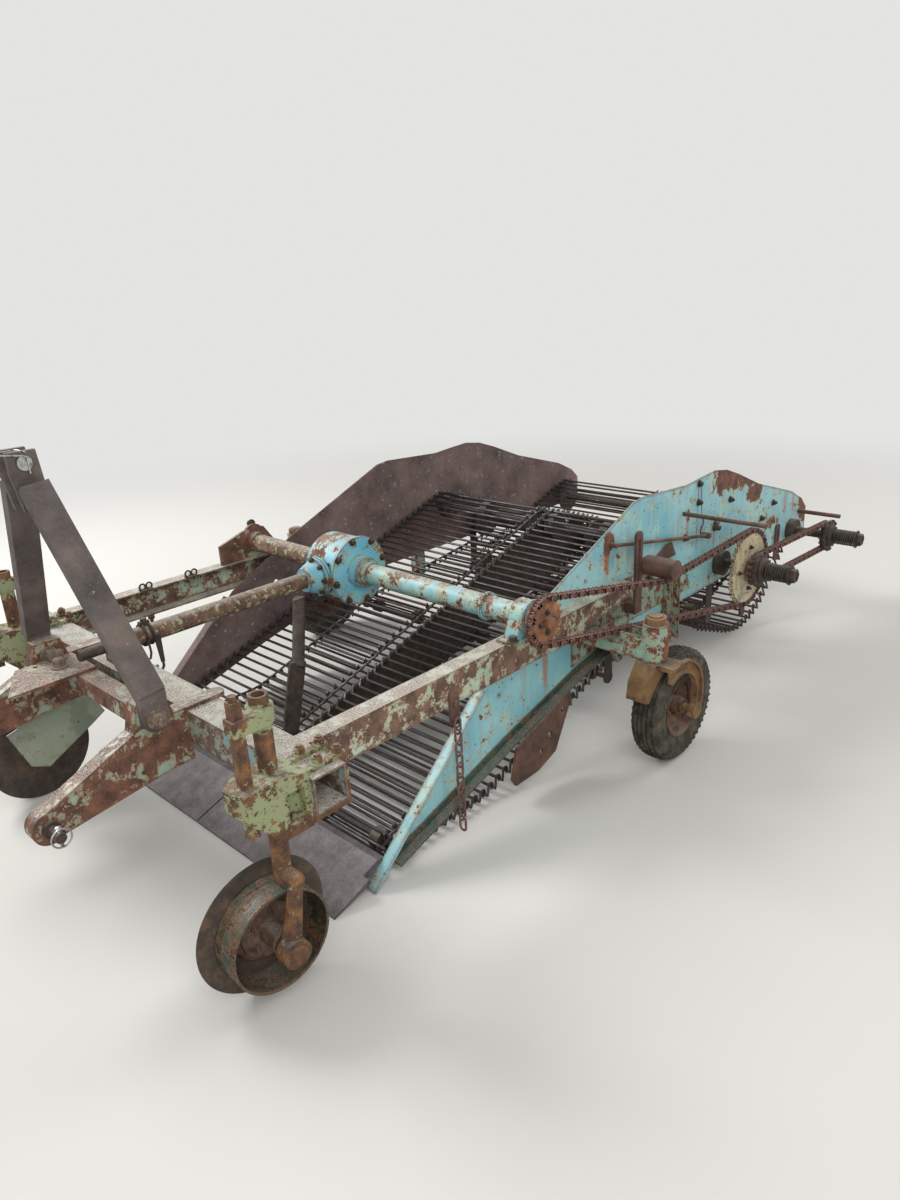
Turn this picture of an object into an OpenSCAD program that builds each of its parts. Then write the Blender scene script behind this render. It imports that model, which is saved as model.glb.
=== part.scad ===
// Two-row rod-web potato digger, mounted, with rear castor wheels.
// X runs rearwards, Y to the machine's right, Z up; the wheels, discs and share stand on Z = 0.
// Places along the machine are measured from the middle of the front beam and then moved to the origin.

/* [Main frame] */
// Width over the two main beams
frame_w = 1546; // [1400:2:1700]
// Width of a main beam
beam_w = 60; // [50:1:80]
// Depth of a main beam
beam_h = 108; // [90:1:130]
// Wall of the beams and tubes
wall_t = 6; // [4:0.5:10]
// Height of the top of the beams
beam_top = 600; // [560:5:640]
// Length of a main beam behind the front beam
beam_len = 1500; // [1400:10:1700]
// Front beam section, square
front_beam_s = 100; // [80:2:120]
// Length of the front beam
front_beam_len = 1840; // [1800:5:2000]

/* [Headstock] */
// Distance between the outer faces of the lower arms
arm_spread = 720; // [640:5:780]
// Width of a lower arm
arm_w = 50; // [40:1:60]
// Depth of a lower arm at the front beam
arm_h = 120; // [100:2:140]
// Reach of the lower link pins in front of the front beam
pin_reach = 512; // [480:2:560]
// Height of the lower link pins
pin_z = 440; // [400:5:500]
// Diameter of the lower link pins
lower_pin_d = 28; // [22:0.5:37]
// Free length of the lower link pins
lower_pin_len = 52; // [45:1:90]
// Diameter of the top link pin
top_pin_d = 25; // [19:0.5:32]
// Height of the top link pin
top_pin_z = 1290; // [1200:5:1350]
// Reach of the top link pin in front of the front beam
top_pin_reach = 270; // [200:5:320]
// Inner distance between the cheeks that hold the top link pin
top_gap = 52; // [46:1:60]
// Width of an A-frame leg
leg_w = 76; // [60:1:90]
// Thickness of an A-frame leg
leg_t = 36; // [25:1:45]

/* [Drive line] */
// Diameter of the tube over the input shaft
input_tube_d = 60; // [50:1:76]
// Diameter of the splined input stub
stub_d = 35; // [30:0.5:45]
// Free length of the splined input stub
stub_len = 90; // [75:1:110]
// Place of the cross shaft behind the front beam
cross_x = 876; // [850:2:900]
// Height of the cross shaft
cross_z = 663; // [650:1:690]
// Outer diameter of the tubes over the cross shaft
cross_tube_d = 76; // [60:1:90]
// Diameter of the gearbox drum
gearbox_d = 250; // [220:2:280]
// Width of the gearbox drum
gearbox_w = 170; // [140:2:200]
// Pitch of the roller chains
chain_pitch = 25.4; // [19:0.1:32]
// Teeth of the driving sprocket
small_teeth = 19; // [15:1:23]
// Teeth of the driven sprocket
big_teeth = 40; // [34:1:44]
// Teeth of the sprockets of the rear chain
rear_teeth = 15; // [13:1:17]
// Distance of the main chain from the middle of the machine
chain_y = 850; // [835:1:870]
// Distance of the rear chain from the middle of the machine
rear_chain_y = 890; // [880:1:900]

/* [Webs] */
// Distance between the rods of a web
rod_pitch = 42; // [36:0.5:60]
// Diameter of a rod
rod_d = 11; // [8:0.5:14]
// Gap between a web and its side plate
web_side_gap = 21; // [12:1:60]
// Gap between the two webs of a stage
web_gap = 34; // [20:1:60]
// Place of the front web shaft
front_shaft_x = 2290; // [2260:2:2320]
// Height of the front web shaft
front_shaft_z = 455; // [440:1:470]
// Place of the rear web shaft
rear_shaft_x = 3040; // [3010:2:3070]
// Height of the rear web shaft
rear_shaft_z = 425; // [410:1:440]
// Diameter of the web shafts
shaft_d = 40; // [30:1:50]

/* [Side plates] */
// Thickness of a side plate
plate_t = 5; // [3:0.5:8]
// Width of the folded edge of a side plate
flange_w = 34; // [20:1:50]
// Width of the rail under a side plate
rail_w = 38; // [25:1:50]

/* [Castors] */
// Distance of a castor pivot from the middle of the machine
castor_y = 1000; // [980:2:1040]
// Place of the castor pivots behind the front beam
castor_x = 1285; // [1260:2:1310]
// Trail of a castor wheel
trail = 130; // [110:2:150]
// Outer diameter of a tyre
tyre_d = 420; // [400:2:440]
// Width of a tyre
tyre_w = 105; // [90:1:120]
// Diameter of a rim
rim_d = 215; // [200:1:230]
// Diameter of a castor pivot pin
pivot_d = 45; // [35:1:55]
// Diameter of a castor axle
axle_d = 25; // [20:1:30]

/* [Coulters] */
// Diameter of a coulter disc
disc_d = 366; // [340:2:372]
// Thickness of a coulter disc
disc_t = 5; // [4:0.5:8]
// Diameter of the drum that limits a disc's depth
depth_drum_d = 276; // [220:2:280]
// Width of that drum
depth_drum_w = 94; // [60:1:98]
// Angle of a coulter disc to the line of travel
disc_toe = -2.5; // [-4:0.5:4]
// Diameter of a coulter stem
stem_d = 46; // [40:1:50]
// Distance of the left stem from the end of the front beam
left_coulter_in = 70; // [50:1:90]
// Distance of the right stem from the end of the front beam
right_coulter_in = 260; // [220:1:280]

/* [Hidden] */
$fn = 40;

// Radial clearance of a running fit
fit = 0.06;
// Gap between pieces that lie beside each other without touching
seat = 0.3;
// Small overrun of a cut
cut = 1;

beam_y = frame_w / 2 - beam_w;
plate_y = beam_y - plate_t;
front_x = -pin_reach - 45;
rear_x = 3222;
origin_x = -(front_x + rear_x) / 2;

// Moves a piece from the front beam's frame to the machine's origin
module placed() { translate([origin_x, 0, 0]) children(); }

// An outline in X and Z, as thick as the span from y0 to y1
module slab(y0, y1) { translate([0, y1, 0]) rotate([90, 0, 0]) linear_extrude(y1 - y0) children(); }

// A box from its low and high corners
module block(lo, hi) { translate(lo) cube(hi - lo); }

// A round bar across the machine
module across(x, z, y0, y1, d) { translate([x, y1, z]) rotate([90, 0, 0]) cylinder(d = d, h = y1 - y0); }

// A round bar between two points
module bar(a, b, d) {
    v = b - a;
    translate(a) rotate([0, acos(v[2] / norm(v)), atan2(v[1], v[0])]) cylinder(d = d, h = norm(v));
}

// Loops of chain and web run over wheels given anticlockwise as [x, z, radius], X right and Z up.
// A negative radius bends the loop the other way.
function heading(a, b) =
    atan2(b[1] - a[1], b[0] - a[0]) + asin((a[2] - b[2]) / norm([b[0] - a[0], b[1] - a[1]]));
function rim_point(w, h) = [w[0] + w[2] * sin(h), w[1] - w[2] * cos(h)];
function wrap(w, h0, h1) = w[2] > 0 ? (h1 - h0 + 720) % 360 : -((h0 - h1 + 720) % 360);
// Legs of a loop: [length, wheel or start, heading, turn]
function legs(ws) = [
    for (i = [0 : len(ws) - 1])
        let (a = ws[(i + len(ws) - 1) % len(ws)], w = ws[i], b = ws[(i + 1) % len(ws)])
        let (h0 = heading(a, w), h1 = heading(w, b), t = wrap(w, h0, h1))
        each [[abs(w[2] * t) * PI / 180, w, h0, t],
              [norm(rim_point(b, h1) - rim_point(w, h1)), rim_point(w, h1), h1, 0]]
];
function sum(v, i = 0) = i < len(v) ? v[i] + sum(v, i + 1) : 0;
function loop_length(ls) = sum([for (l = ls) l[0]]);
// Place on a loop at a length along it: [x, z, heading]
function loop_at(ls, s, i = 0) =
    s > ls[i][0] && i < len(ls) - 1 ? loop_at(ls, s - ls[i][0], i + 1) :
    let (l = ls[i], h = l[2] + l[3] * s / max(l[0], 0.001))
    l[3] == 0 ? concat(l[1] + s * [cos(h), sin(h)], h) : concat(rim_point(l[1], h), h);
// Evenly spaced stations of a loop, as near to the pitch as a whole number allows
function stations(ws, pitch) =
    let (ls = legs(ws), n = round(loop_length(ls) / pitch))
    [for (i = [0 : n - 1]) loop_at(ls, loop_length(ls) * i / n)];
function offset_points(st, d) = [for (p = st) [p[0] + d * sin(p[2]), p[1] - d * cos(p[2])]];

// Places where a loop turns over its wheels, at steps along the turn
function turns(ws, step) = [
    for (l = legs(ws)) if (l[3] != 0) let (n = max(1, round(l[0] / step)))
        for (i = [0 : n]) let (h = l[2] + l[3] * i / n) concat(rim_point(l[1], h), h)
];

// Roller chain: two rows of link plates and the rollers between them, four-sided to stay light
roller_d = chain_pitch * 0.62;
link_edge = chain_pitch * 0.34;
link_t = 3;
chain_inner = 16;
module chain(ws, y) {
    bend = turns(ws, chain_pitch);
    for (y0 = [y - chain_inner / 2 - link_t, y + chain_inner / 2]) slab(y0, y0 + link_t) difference() {
        polygon(offset_points(bend, link_edge));
        polygon(offset_points(bend, -link_edge));
    }
    for (p = stations(ws, chain_pitch))
        translate([p[0], y + chain_inner / 2 + link_t / 2, p[1]]) rotate([90, 0, 0]) rotate(p[2]) cylinder(d = roller_d, h = chain_inner + link_t, $fn = 4);
}
// Turn of a sprocket that sets the root of a tooth gap at the roller nearest the middle of its wrap
function wheel_phase(ws, k) =
    let (st = stations(ws, chain_pitch), leg = legs(ws)[2 * k], mid = leg[2] + leg[3] / 2)
    let (d = [for (p = st) norm([p[0], p[1]] - rim_point(ws[k], mid))], i = search(min(d), d)[0])
    atan2(st[i][1] - ws[k][1], st[i][0] - ws[k][0]);

// Sprocket: teeth as trapezia between round-bottomed gaps
function pitch_r(teeth) = chain_pitch / 2 / sin(180 / teeth);
module sprocket(x, z, y0, y1, teeth, bore, phase) {
    r = pitch_r(teeth);
    root = r - roller_d / 2 - seat;
    step = 360 / teeth;
    slab(y0, y1) translate([x, z]) rotate(phase) difference() {
        polygon([for (i = [0 : teeth - 1], c = [[0.3, root], [0.42, r + 5], [0.58, r + 5], [0.7, root]])
            c[1] * [cos(step * (i + c[0])), sin(step * (i + c[0]))]]);
        circle(d = bore);
    }
}

module front_beam() {
    color("lightgray") placed() difference() {
        block([-front_beam_s, -front_beam_len / 2, beam_top - front_beam_s],
            [0, front_beam_len / 2, beam_top]);
        block([-front_beam_s + wall_t, -front_beam_len / 2 - cut, beam_top - front_beam_s + wall_t],
            [-wall_t, front_beam_len / 2 + cut, beam_top - wall_t]);
    }
}

// Main beam: a channel with its web outwards, its lower edge rising at the tail
tail_len = 380;
tail_h = 40;
module main_beam() {
    difference() {
        slab(beam_y, beam_y + beam_w) polygon([
            [0, beam_top], [beam_len, beam_top], [beam_len, beam_top - tail_h],
            [beam_len - tail_len, beam_top - beam_h], [0, beam_top - beam_h]
        ]);
        slab(beam_y - cut, beam_y + beam_w - wall_t) polygon([
            [wall_t, beam_top - wall_t], [beam_len - wall_t, beam_top - wall_t],
            [beam_len - wall_t, beam_top - tail_h + wall_t / 2],
            [beam_len - tail_len, beam_top - beam_h + wall_t], [wall_t, beam_top - beam_h + wall_t]
        ]);
    }
}
module main_beam_left() { color("skyblue") placed() mirror([0, 1, 0]) main_beam(); }
module main_beam_right() { color("skyblue") placed() main_beam(); }

// Lower arms over the front beam, with the cross member between them
arm_y1 = arm_spread / 2;
arm_y0 = arm_y1 - arm_w;
arm_tail = 5;
arm_foot_t = 12;
cross_member_x = -190;
hitch_plate_t = 10;
eye_r = 45;
leg_x = -200;
leg_z = 625;
module arm_outline() {
    difference() {
        union() {
            polygon([
                [arm_tail, beam_top], [arm_tail, beam_top + arm_foot_t], [leg_x + 60, beam_top + arm_foot_t],
                [leg_x + 45, leg_z + 45], [leg_x - 40, leg_z + 45], [leg_x - 60, beam_top - 5],
                [-pin_reach - 10, pin_z + eye_r - 4], [-pin_reach, pin_z - eye_r + 8],
                [-front_beam_s - 60, beam_top - arm_h - 30], [-front_beam_s, beam_top - arm_h - 30],
                [-front_beam_s, beam_top]
            ]);
            translate([-pin_reach, pin_z]) circle(r = eye_r);
        }
        translate([-pin_reach, pin_z]) circle(d = stud_pin_d + 2 * seat);
        translate([leg_x, leg_z]) circle(d = 20);
    }
}
module arm() {
    slab(arm_y0, arm_y1) arm_outline();
    translate([arm_tail, (arm_y0 + arm_y1) / 2, beam_top]) cylinder(d = arm_w, h = arm_foot_t);
}
module lower_arms() {
    color("cadetblue") placed() {
        arm();
        mirror([0, 1, 0]) arm();
        block([cross_member_x, -arm_y0, beam_top - 60], [cross_member_x + 60, arm_y0, beam_top]);
        difference() {
            translate([0, 0, beam_top]) linear_extrude(hitch_plate_t) polygon([
                [cross_member_x + 60, arm_y0], [cross_member_x + 60, 130], [-400, 120], [-310, arm_y0]
            ]);
            translate([-257, 282, beam_top - cut]) cylinder(d = 16, h = hitch_plate_t + 2 * cut);
        }
    }
}

// Lower link pin: a stud through the arm with a nut inside, a collar, and the free pin with its linch hole
linch_d = 12;
stud_pin_d = lower_pin_d - 4;
pin_collar = 12;
pin_nut = 18;
module lower_link_pin() {
    y0 = arm_y1 + seat + pin_collar;
    difference() {
        union() {
            across(-pin_reach, pin_z, arm_y0 - pin_nut - 4, y0, stud_pin_d);
            across(-pin_reach, pin_z, arm_y1 + seat, y0, lower_pin_d + 18);
            across(-pin_reach, pin_z, y0, y0 + lower_pin_len, lower_pin_d);
            translate([-pin_reach, arm_y0 - seat, pin_z]) rotate([90, 0, 0])
                cylinder(d = lower_pin_d + 16, h = pin_nut, $fn = 6);
        }
        translate([-pin_reach, y0 + lower_pin_len - linch_d, pin_z - lower_pin_d])
            cylinder(d = linch_d, h = 2 * lower_pin_d);
    }
}
module lower_link_pins() {
    color("silver") placed() {
        lower_link_pin();
        mirror([0, 1, 0]) lower_link_pin();
    }
}

// A-frame: two legs, bolted outside the arms' gussets, meeting in two cheeks at the top
cheek_t = 16;
cheek_y = top_gap / 2;
foot_top = 76;
module leg() {
    // Foot plate on the gusset, then the leaning leg
    y0 = arm_y1 + seat;
    slab(y0, y0 + 22) foot_outline();
    foot = [leg_x, y0 + 11, leg_z + foot_top - 8];
    head = [-top_pin_reach + 8, cheek_y + cheek_t + leg_t / 2 - 4, top_pin_z - 60];
    v = head - foot;
    translate(foot) rotate([0, acos(v[2] / norm(v)), atan2(v[1], v[0])])
        rotate([0, 0, -atan2(v[1], v[0])])
            translate([-leg_w / 2, -leg_t / 2, 0]) cube([leg_w, leg_t, norm(v)]);
}
module foot_outline() {
    translate([leg_x, leg_z]) circle(d = leg_w);
    translate([leg_x - leg_w / 2, leg_z]) square([leg_w, foot_top]);
}
module cheek() {
    slab(cheek_y, cheek_y + cheek_t) difference() {
        polygon([
            [-top_pin_reach - 38, top_pin_z - 30], [-top_pin_reach - 38, top_pin_z + 30],
            [-top_pin_reach + 38, top_pin_z + 30], [-top_pin_reach + 52, top_pin_z - 130],
            [-top_pin_reach - 20, top_pin_z - 130]
        ]);
        translate([-top_pin_reach, top_pin_z]) circle(d = top_pin_d);
    }
}
module a_frame() {
    color("dimgray") placed() {
        leg();
        mirror([0, 1, 0]) leg();
        cheek();
        mirror([0, 1, 0]) cheek();
        block([-top_pin_reach - 10, -cheek_y, top_pin_z - 125], [-top_pin_reach + 40, cheek_y, top_pin_z - 100]);
    }
}
module top_link_pin() {
    color("silver") placed() {
        across(-top_pin_reach, top_pin_z, -cheek_y - cheek_t - 14, cheek_y + cheek_t + 22, top_pin_d - 2 * fit);
        across(-top_pin_reach, top_pin_z, -cheek_y - cheek_t - 14, -cheek_y - cheek_t, top_pin_d + 14);
    }
}

// Flat guard plate bolted to the right arm
shield_t = 6;
// Its outline: [x, z]
shield_line = [
    [-190, 540], [-108, 548], [-104, 475], [-45, 345], [-90, 318], [-260, 225], [-315, 250], [-365, 385],
    [-330, 395], [-285, 470]
];
module shield_plate() {
    color("darkseagreen") placed() slab(arm_y1 + seat, arm_y1 + seat + shield_t) polygon(shield_line);
}

// Gearbox, input tube and the tubes over the cross shaft
input_y = 120;
drum_y0 = input_y - gearbox_w / 2;
drum_y1 = input_y + gearbox_w / 2;
input_z = cross_z;
flange_x = cross_x - gearbox_d / 2 - 60;
tube_front_x = -90;
cap_d = gearbox_d + 14;
cap_t = 12;
boss_d = 118;
boss_len = 42;
neck_d = 116;
bell_x = flange_x + 34;
module gearbox() {
    color("skyblue") placed() {
        // Drum between a bolted cap and a domed back
        across(cross_x, cross_z, drum_y0 + cap_t + 2, drum_y1, gearbox_d);
        across(cross_x, cross_z, drum_y0 + cap_t, drum_y0 + cap_t + 2, cap_d - 8);
        across(cross_x, cross_z, drum_y0, drum_y0 + cap_t, cap_d);
        translate([cross_x, drum_y1, cross_z]) rotate([-90, 0, 0]) cylinder(d1 = gearbox_d, d2 = 150, h = 26);
        across(cross_x, cross_z, drum_y1, drum_y1 + 60, 110);
        across(cross_x, cross_z, drum_y0 - boss_len, drum_y0, boss_d);
        // Neck of the input side, two bolted flanges and the bell that takes the input tube
        translate([0, input_y, cross_z]) rotate([0, 90, 0]) {
            translate([0, 0, bell_x + 22]) cylinder(d = neck_d, h = cross_x - bell_x - gearbox_d / 2);
            translate([0, 0, bell_x + 12]) cylinder(d = 152, h = 12);
            translate([0, 0, bell_x + 10]) cylinder(d = 140, h = 2);
            translate([0, 0, bell_x - 2]) cylinder(d = 150, h = 12);
            translate([0, 0, flange_x - 16]) cylinder(d1 = 88, d2 = 130, h = bell_x - flange_x + 15);
        }
    }
}
module input_tube() {
    color("rosybrown") placed() {
        difference() {
            translate([tube_front_x, input_y, input_z]) rotate([0, 90, 0])
                cylinder(d = input_tube_d, h = flange_x - 16 - tube_front_x);
            translate([tube_front_x - cut, input_y, input_z]) rotate([0, 90, 0])
                cylinder(d = input_tube_d - 2 * wall_t, h = flange_x - tube_front_x);
        }
        difference() {
            block([-80, input_y - 45, beam_top], [-10, input_y + 45, input_z + 10]);
            translate([-90, input_y, input_z]) rotate([0, 90, 0]) cylinder(d = input_tube_d, h = 100);
        }
    }
}
// Input shaft: the stub in front, thicker inside the tube
module input_shaft() {
    color("silver") placed() translate([tube_front_x, input_y, input_z]) rotate([0, 90, 0]) {
        translate([0, 0, -stub_len]) cylinder(d = stub_d, h = stub_len);
        cylinder(d = stub_d + 5, h = flange_x - 16 - seat - tube_front_x);
    }
}
bearing_y0 = 745;
bearing_y1 = 815;
hoop_y = 611;
module cross_tube_left() {
    color("skyblue") placed() {
        across(cross_x, cross_z, -bearing_y0, drum_y0 - boss_len - 34, cross_tube_d);
        across(cross_x, cross_z, drum_y0 - boss_len - 34, drum_y0 - boss_len - 8, cross_tube_d + 12);
        across(cross_x, cross_z, drum_y0 - boss_len - 8, drum_y0 - boss_len, boss_d - 10);
        // Hoop of round bar about the tube
        across(cross_x, cross_z, -hoop_y - 6, -hoop_y + 6, cross_tube_d + 20);
    }
}
module cross_tube_right() {
    color("rosybrown") placed() {
        across(cross_x, cross_z, drum_y1 + 60, beam_y + 14, cross_tube_d);
    }
}
module bearing_left() {
    color("darkcyan") placed() {
        // Cap with its rim, body, pedestal and foot plate
        across(cross_x, cross_z, -bearing_y1, -bearing_y1 + 10, 100);
        across(cross_x, cross_z, -bearing_y1 + 10, -bearing_y1 + 18, 124);
        across(cross_x, cross_z, -bearing_y1 + 18, -bearing_y0, 114);
        slab(-bearing_y1 + 18, -bearing_y0) polygon([
            [cross_x - 80, beam_top + 10], [cross_x + 80, beam_top + 10], [cross_x + 54, cross_z + 10],
            [cross_x - 54, cross_z + 10]
        ]);
        block([cross_x - 105, -bearing_y1 + 12, beam_top], [cross_x + 105, -bearing_y0 + 10, beam_top + 10]);
    }
}
hood_t = 8;
module bearing_right() {
    color("cadetblue") placed() {
        slab(beam_y + 14, beam_y + 26) {
            polygon([[700, beam_top], [700, cross_z + 20], [cross_x - 50, cross_z + 60],
                [cross_x + 50, cross_z + 60], [1010, beam_top]]);
            translate([cross_x, cross_z + 30]) circle(r = 50);
        }
        across(cross_x, cross_z, beam_y + 26, beam_y + 60, 100);
        slab(beam_y - 20, beam_y + 14) difference() {
            translate([cross_x, cross_z]) circle(d = cross_tube_d + 2 * hood_t + 2 * seat);
            translate([cross_x, cross_z]) circle(d = cross_tube_d + 2 * seat);
            translate([cross_x - 100, cross_z - 200]) square([200, 200]);
        }
    }
}

// Chain drive on the left side
sprocket_t = 14;
idler_x = 1600;
idler_r = 38;
idler_z = 640;
module driving_sprocket() {
    color("sienna") placed() {
        sprocket(cross_x, cross_z, -chain_y - sprocket_t / 2, -chain_y + sprocket_t / 2, small_teeth, shaft_d - cut,
            wheel_phase(main_wheels, 2));
        across(cross_x, cross_z, -chain_y - 30, -bearing_y1, shaft_d);
        across(cross_x, cross_z, -chain_y, -bearing_y1, 70);
    }
}
main_wheels = [
    [front_shaft_x, front_shaft_z, pitch_r(big_teeth)],
    [idler_x, idler_z, -idler_r - 9],
    [cross_x, cross_z, pitch_r(small_teeth)]
];
module main_chain() { color("sienna") placed() chain(main_wheels, -chain_y); }
module driven_sprocket() {
    color("khaki") placed()
        sprocket(front_shaft_x, front_shaft_z, -chain_y - sprocket_t / 2, -chain_y + sprocket_t / 2, big_teeth,
            shaft_d + 2 * seat, wheel_phase(main_wheels, 0));
}
rear_wheels = [
    [rear_shaft_x, rear_shaft_z, pitch_r(rear_teeth)],
    [front_shaft_x, front_shaft_z, pitch_r(rear_teeth)]
];
module rear_chain() { color("sienna") placed() chain(rear_wheels, -rear_chain_y); }
// Spring-loaded slip clutch on a shaft end: plates, coil spring and nut
clutch_end = 1060;
spring_wire = 11;
spring_r = 32;
clutch_d = 150;
clutch_plate_t = 14;
module clutch(x, z, y) {
    difference() {
        union() {
            across(x, z, -y - clutch_plate_t, -y, clutch_d);
            across(x, z, -y - 2 * clutch_plate_t, -y - clutch_plate_t, clutch_d - 40);
            across(x, z, -clutch_end - 4, -clutch_end + 20, 62);
        }
        across(x, z, -clutch_end - 5, -y + cut, shaft_d + 2 * seat);
    }
    // Closed coils between the plates and the nut
    start = y + 2 * clutch_plate_t + seat;
    length = clutch_end - 20 - seat - start;
    turns = round(length / (spring_wire * cos(30) + seat));
    coil = length / turns;
    translate([x, -start, z]) rotate([90, 0, 0]) rotate_extrude()
        for (i = [0 : turns - 1])
            translate([spring_r, (i + 0.5) * coil]) circle(d = (coil - seat) / cos(30), $fn = 6);
}
module front_clutch() {
    color("dimgray") placed() {
        clutch(front_shaft_x, front_shaft_z, rear_chain_y + 12);
    }
}
module rear_clutch() {
    color("dimgray") placed() clutch(rear_shaft_x, rear_shaft_z, rear_chain_y + 12);
}
// Drive discs under each web, and a bearing housing outside each side plate
drum_places = [60, 640];
drum_t = 14;
housing_d = 110;
housing_w = 34;
module web_shaft(x, z, r) {
    across(x, z, -clutch_end, plate_y + 60, shaft_d);
    for (s = [-1, 1]) for (y = drum_places)
        across(x, z, min(s * y, s * (y + drum_t)), max(s * y, s * (y + drum_t)), 2 * r - rod_d - 1);
    across(x, z, beam_y + seat, beam_y + seat + housing_w, housing_d);
    across(x, z, -beam_y - seat - housing_w, -beam_y - seat, housing_d);
}
module front_web_shaft() {
    color("dimgray") placed() {
        web_shaft(front_shaft_x, front_shaft_z, front_wheels[0][2]);
        sprocket(front_shaft_x, front_shaft_z, -rear_chain_y - sprocket_t / 2, -rear_chain_y + sprocket_t / 2,
            rear_teeth, shaft_d - cut, wheel_phase(rear_wheels, 1));
    }
}
module rear_web_shaft() {
    color("dimgray") placed() {
        web_shaft(rear_shaft_x, rear_shaft_z, rear_web_wheels[0][2]);
        sprocket(rear_shaft_x, rear_shaft_z, -rear_chain_y - sprocket_t / 2, -rear_chain_y + sprocket_t / 2,
            rear_teeth, shaft_d - cut, wheel_phase(rear_wheels, 0));
    }
}
strap_x = 1550;
strap_y0 = beam_y + 46;
strap_t = 10;
strap_w = 44;
strap_z0 = 460;
strap_z1 = 760;
// Gusset: [x, z]
gusset_line = [[1690, 591], [1830, 652], [1870, 652], [1905, 591]];
rear_slot_x = 2885;
rear_slot_z0 = 310;
module chain_idler() {
    color("sienna") placed() {
        across(idler_x, idler_z, -chain_y - 45, -strap_y0 - strap_t - 2, 2 * idler_r);
        slab(-strap_y0 - strap_t, -strap_y0) difference() {
            union() {
                translate([strap_x - strap_w / 2, strap_z0]) square([strap_w, strap_z1 - strap_z0]);
                translate([strap_x, strap_z1]) circle(d = strap_w);
                translate([strap_x, idler_z - strap_w / 2]) square([idler_x - strap_x, strap_w]);
                translate([idler_x, idler_z]) circle(d = strap_w + 16);
            }
            translate([strap_x - 8, strap_z0 + 100]) square([16, strap_z1 - strap_z0 - 110]);
        }
        across(idler_x, idler_z, -strap_y0 - strap_t - 4, -strap_y0, 40);
        block([strap_x - strap_w / 2, -strap_y0, strap_z0],
            [strap_x + strap_w / 2, -beam_y - 8 - seat, strap_z0 + 40]);
        // Gusset behind the strap
        slab(-beam_y - 8, -beam_y - seat) polygon(gusset_line);
        // Slotted bracket of the rear chain on the side plate
        slab(-beam_y - strap_t, -beam_y) difference() {
            union() {
                translate([rear_slot_x - 20, rear_slot_z0]) square([40, 160]);
                translate([rear_slot_x, rear_slot_z0 + 160]) circle(d = 40);
            }
            translate([rear_slot_x - 7, rear_slot_z0 + 30]) square([14, 120]);
        }
    }
}
// Bars that stand out over the chains: [x, z, outer end, diameter]
guards = [[1966, 746, 1060, 18], [3130, 500, 920, 20]];
rod_front = [1441, 748];
rod_rear = [2136, 617];
rod_y = beam_y + 20;
tail_bar_x = 2550;
module guard_rods() {
    color("dimgray") placed() {
        for (g = guards) across(g[0], g[1], -g[2], -beam_y - seat, g[3]);
        // Tension rod with its front stud and rear nut
        bar([rod_front[0], -rod_y, rod_front[1]], [rod_rear[0], -rod_y, rod_rear[1]], 14);
        across(rod_front[0], rod_front[1], -rod_y - 10, -beam_y - seat, 18);
        across(rod_rear[0], rod_rear[1], -rod_y - 14, -beam_y - seat, 26);
        // Bar that hangs below the plate
        block([tail_bar_x - 20, -beam_y - 10, 120], [tail_bar_x + 20, -beam_y - seat, 420]);
    }
}

// Side plates: lower panel from the tip, hump over the webs
// Lower edge from the tip rearwards, then the upper edge forwards: [x, z]
side_line = [
    [183, 6], [480, 96], [820, 200], [1230, 310], [1560, 365], [rear_x, 370],
    [rear_x, 505], [3160, 560], [3030, 622], [2650, 735], [2440, 820], [2330, 858], [2223, 875],
    [2100, 868], [1990, 860], [1660, 880], [1590, 872], [1060, 655], [720, 485]
];
// Folded front edge: [x, z]
fold_line = [[183, 6], [190, 1], [700, 458], [695, 463]];
// Holes: [x, z, diameter]
plate_holes = [[1304, 380, 30], [942, 465, 22], [1362, 392, 14], [801, 395, 12], [1000, 430, 10], [1480, 520, 16]];
seam_x = 2082;
seam_w = 3;
seam_t = 1.5;
module side_plate() {
    difference() {
        slab(plate_y, beam_y) polygon(side_line);
        across(cross_x, cross_z, plate_y - cut, beam_y + cut, cross_tube_d + 2);
        across(front_shaft_x, front_shaft_z, plate_y - cut, beam_y + cut, shaft_d + 2);
        across(rear_shaft_x, rear_shaft_z, plate_y - cut, beam_y + cut, shaft_d + 2);
        for (h = plate_holes) across(h[0], h[1], plate_y - cut, beam_y + cut, h[2]);
        block([seam_x, beam_y - seam_t, 560], [seam_x + seam_w, beam_y + cut, 900]);
    }
    slab(beam_y, beam_y + flange_w) polygon(fold_line);
}
module side_plate_left() { color("skyblue") placed() mirror([0, 1, 0]) side_plate(); }
module side_plate_right() { color("saddlebrown") placed() side_plate(); }
// Lower edge line of the rails: [x, z]
rail_line = [[290, 40], [480, 98], [820, 203], [1230, 313], [1560, 368]];
function raised(line, dz) = [for (i = [len(line) - 1 : -1 : 0]) line[i] + [0, dz]];
rail_t = 6;
rail_h = 32;
module rail() {
    slab(beam_y, beam_y + rail_w) polygon(concat(rail_line, raised(rail_line, rail_t)));
    slab(beam_y, beam_y + rail_t) polygon(concat(rail_line, raised(rail_line, rail_h)));
}
module side_rails() {
    color("darkslategray") placed() {
        rail();
        mirror([0, 1, 0]) rail();
    }
}

// Webs: loops of rods joined at their ends
front_wheels = [
    [front_shaft_x, front_shaft_z, 100],
    [1975, 595, 64],
    [326, 62, 40],
    [720, 272, 250],
    [1450, 212, -34]
];
rear_web_wheels = [
    [rear_shaft_x, rear_shaft_z, 92],
    [2240, 205, 55],
    [2620, 420, 390]
];
web_y0 = web_gap / 2;
web_w = plate_y - web_side_gap - web_y0;
link_w = 9;
link_h = rod_d + 3;
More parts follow.
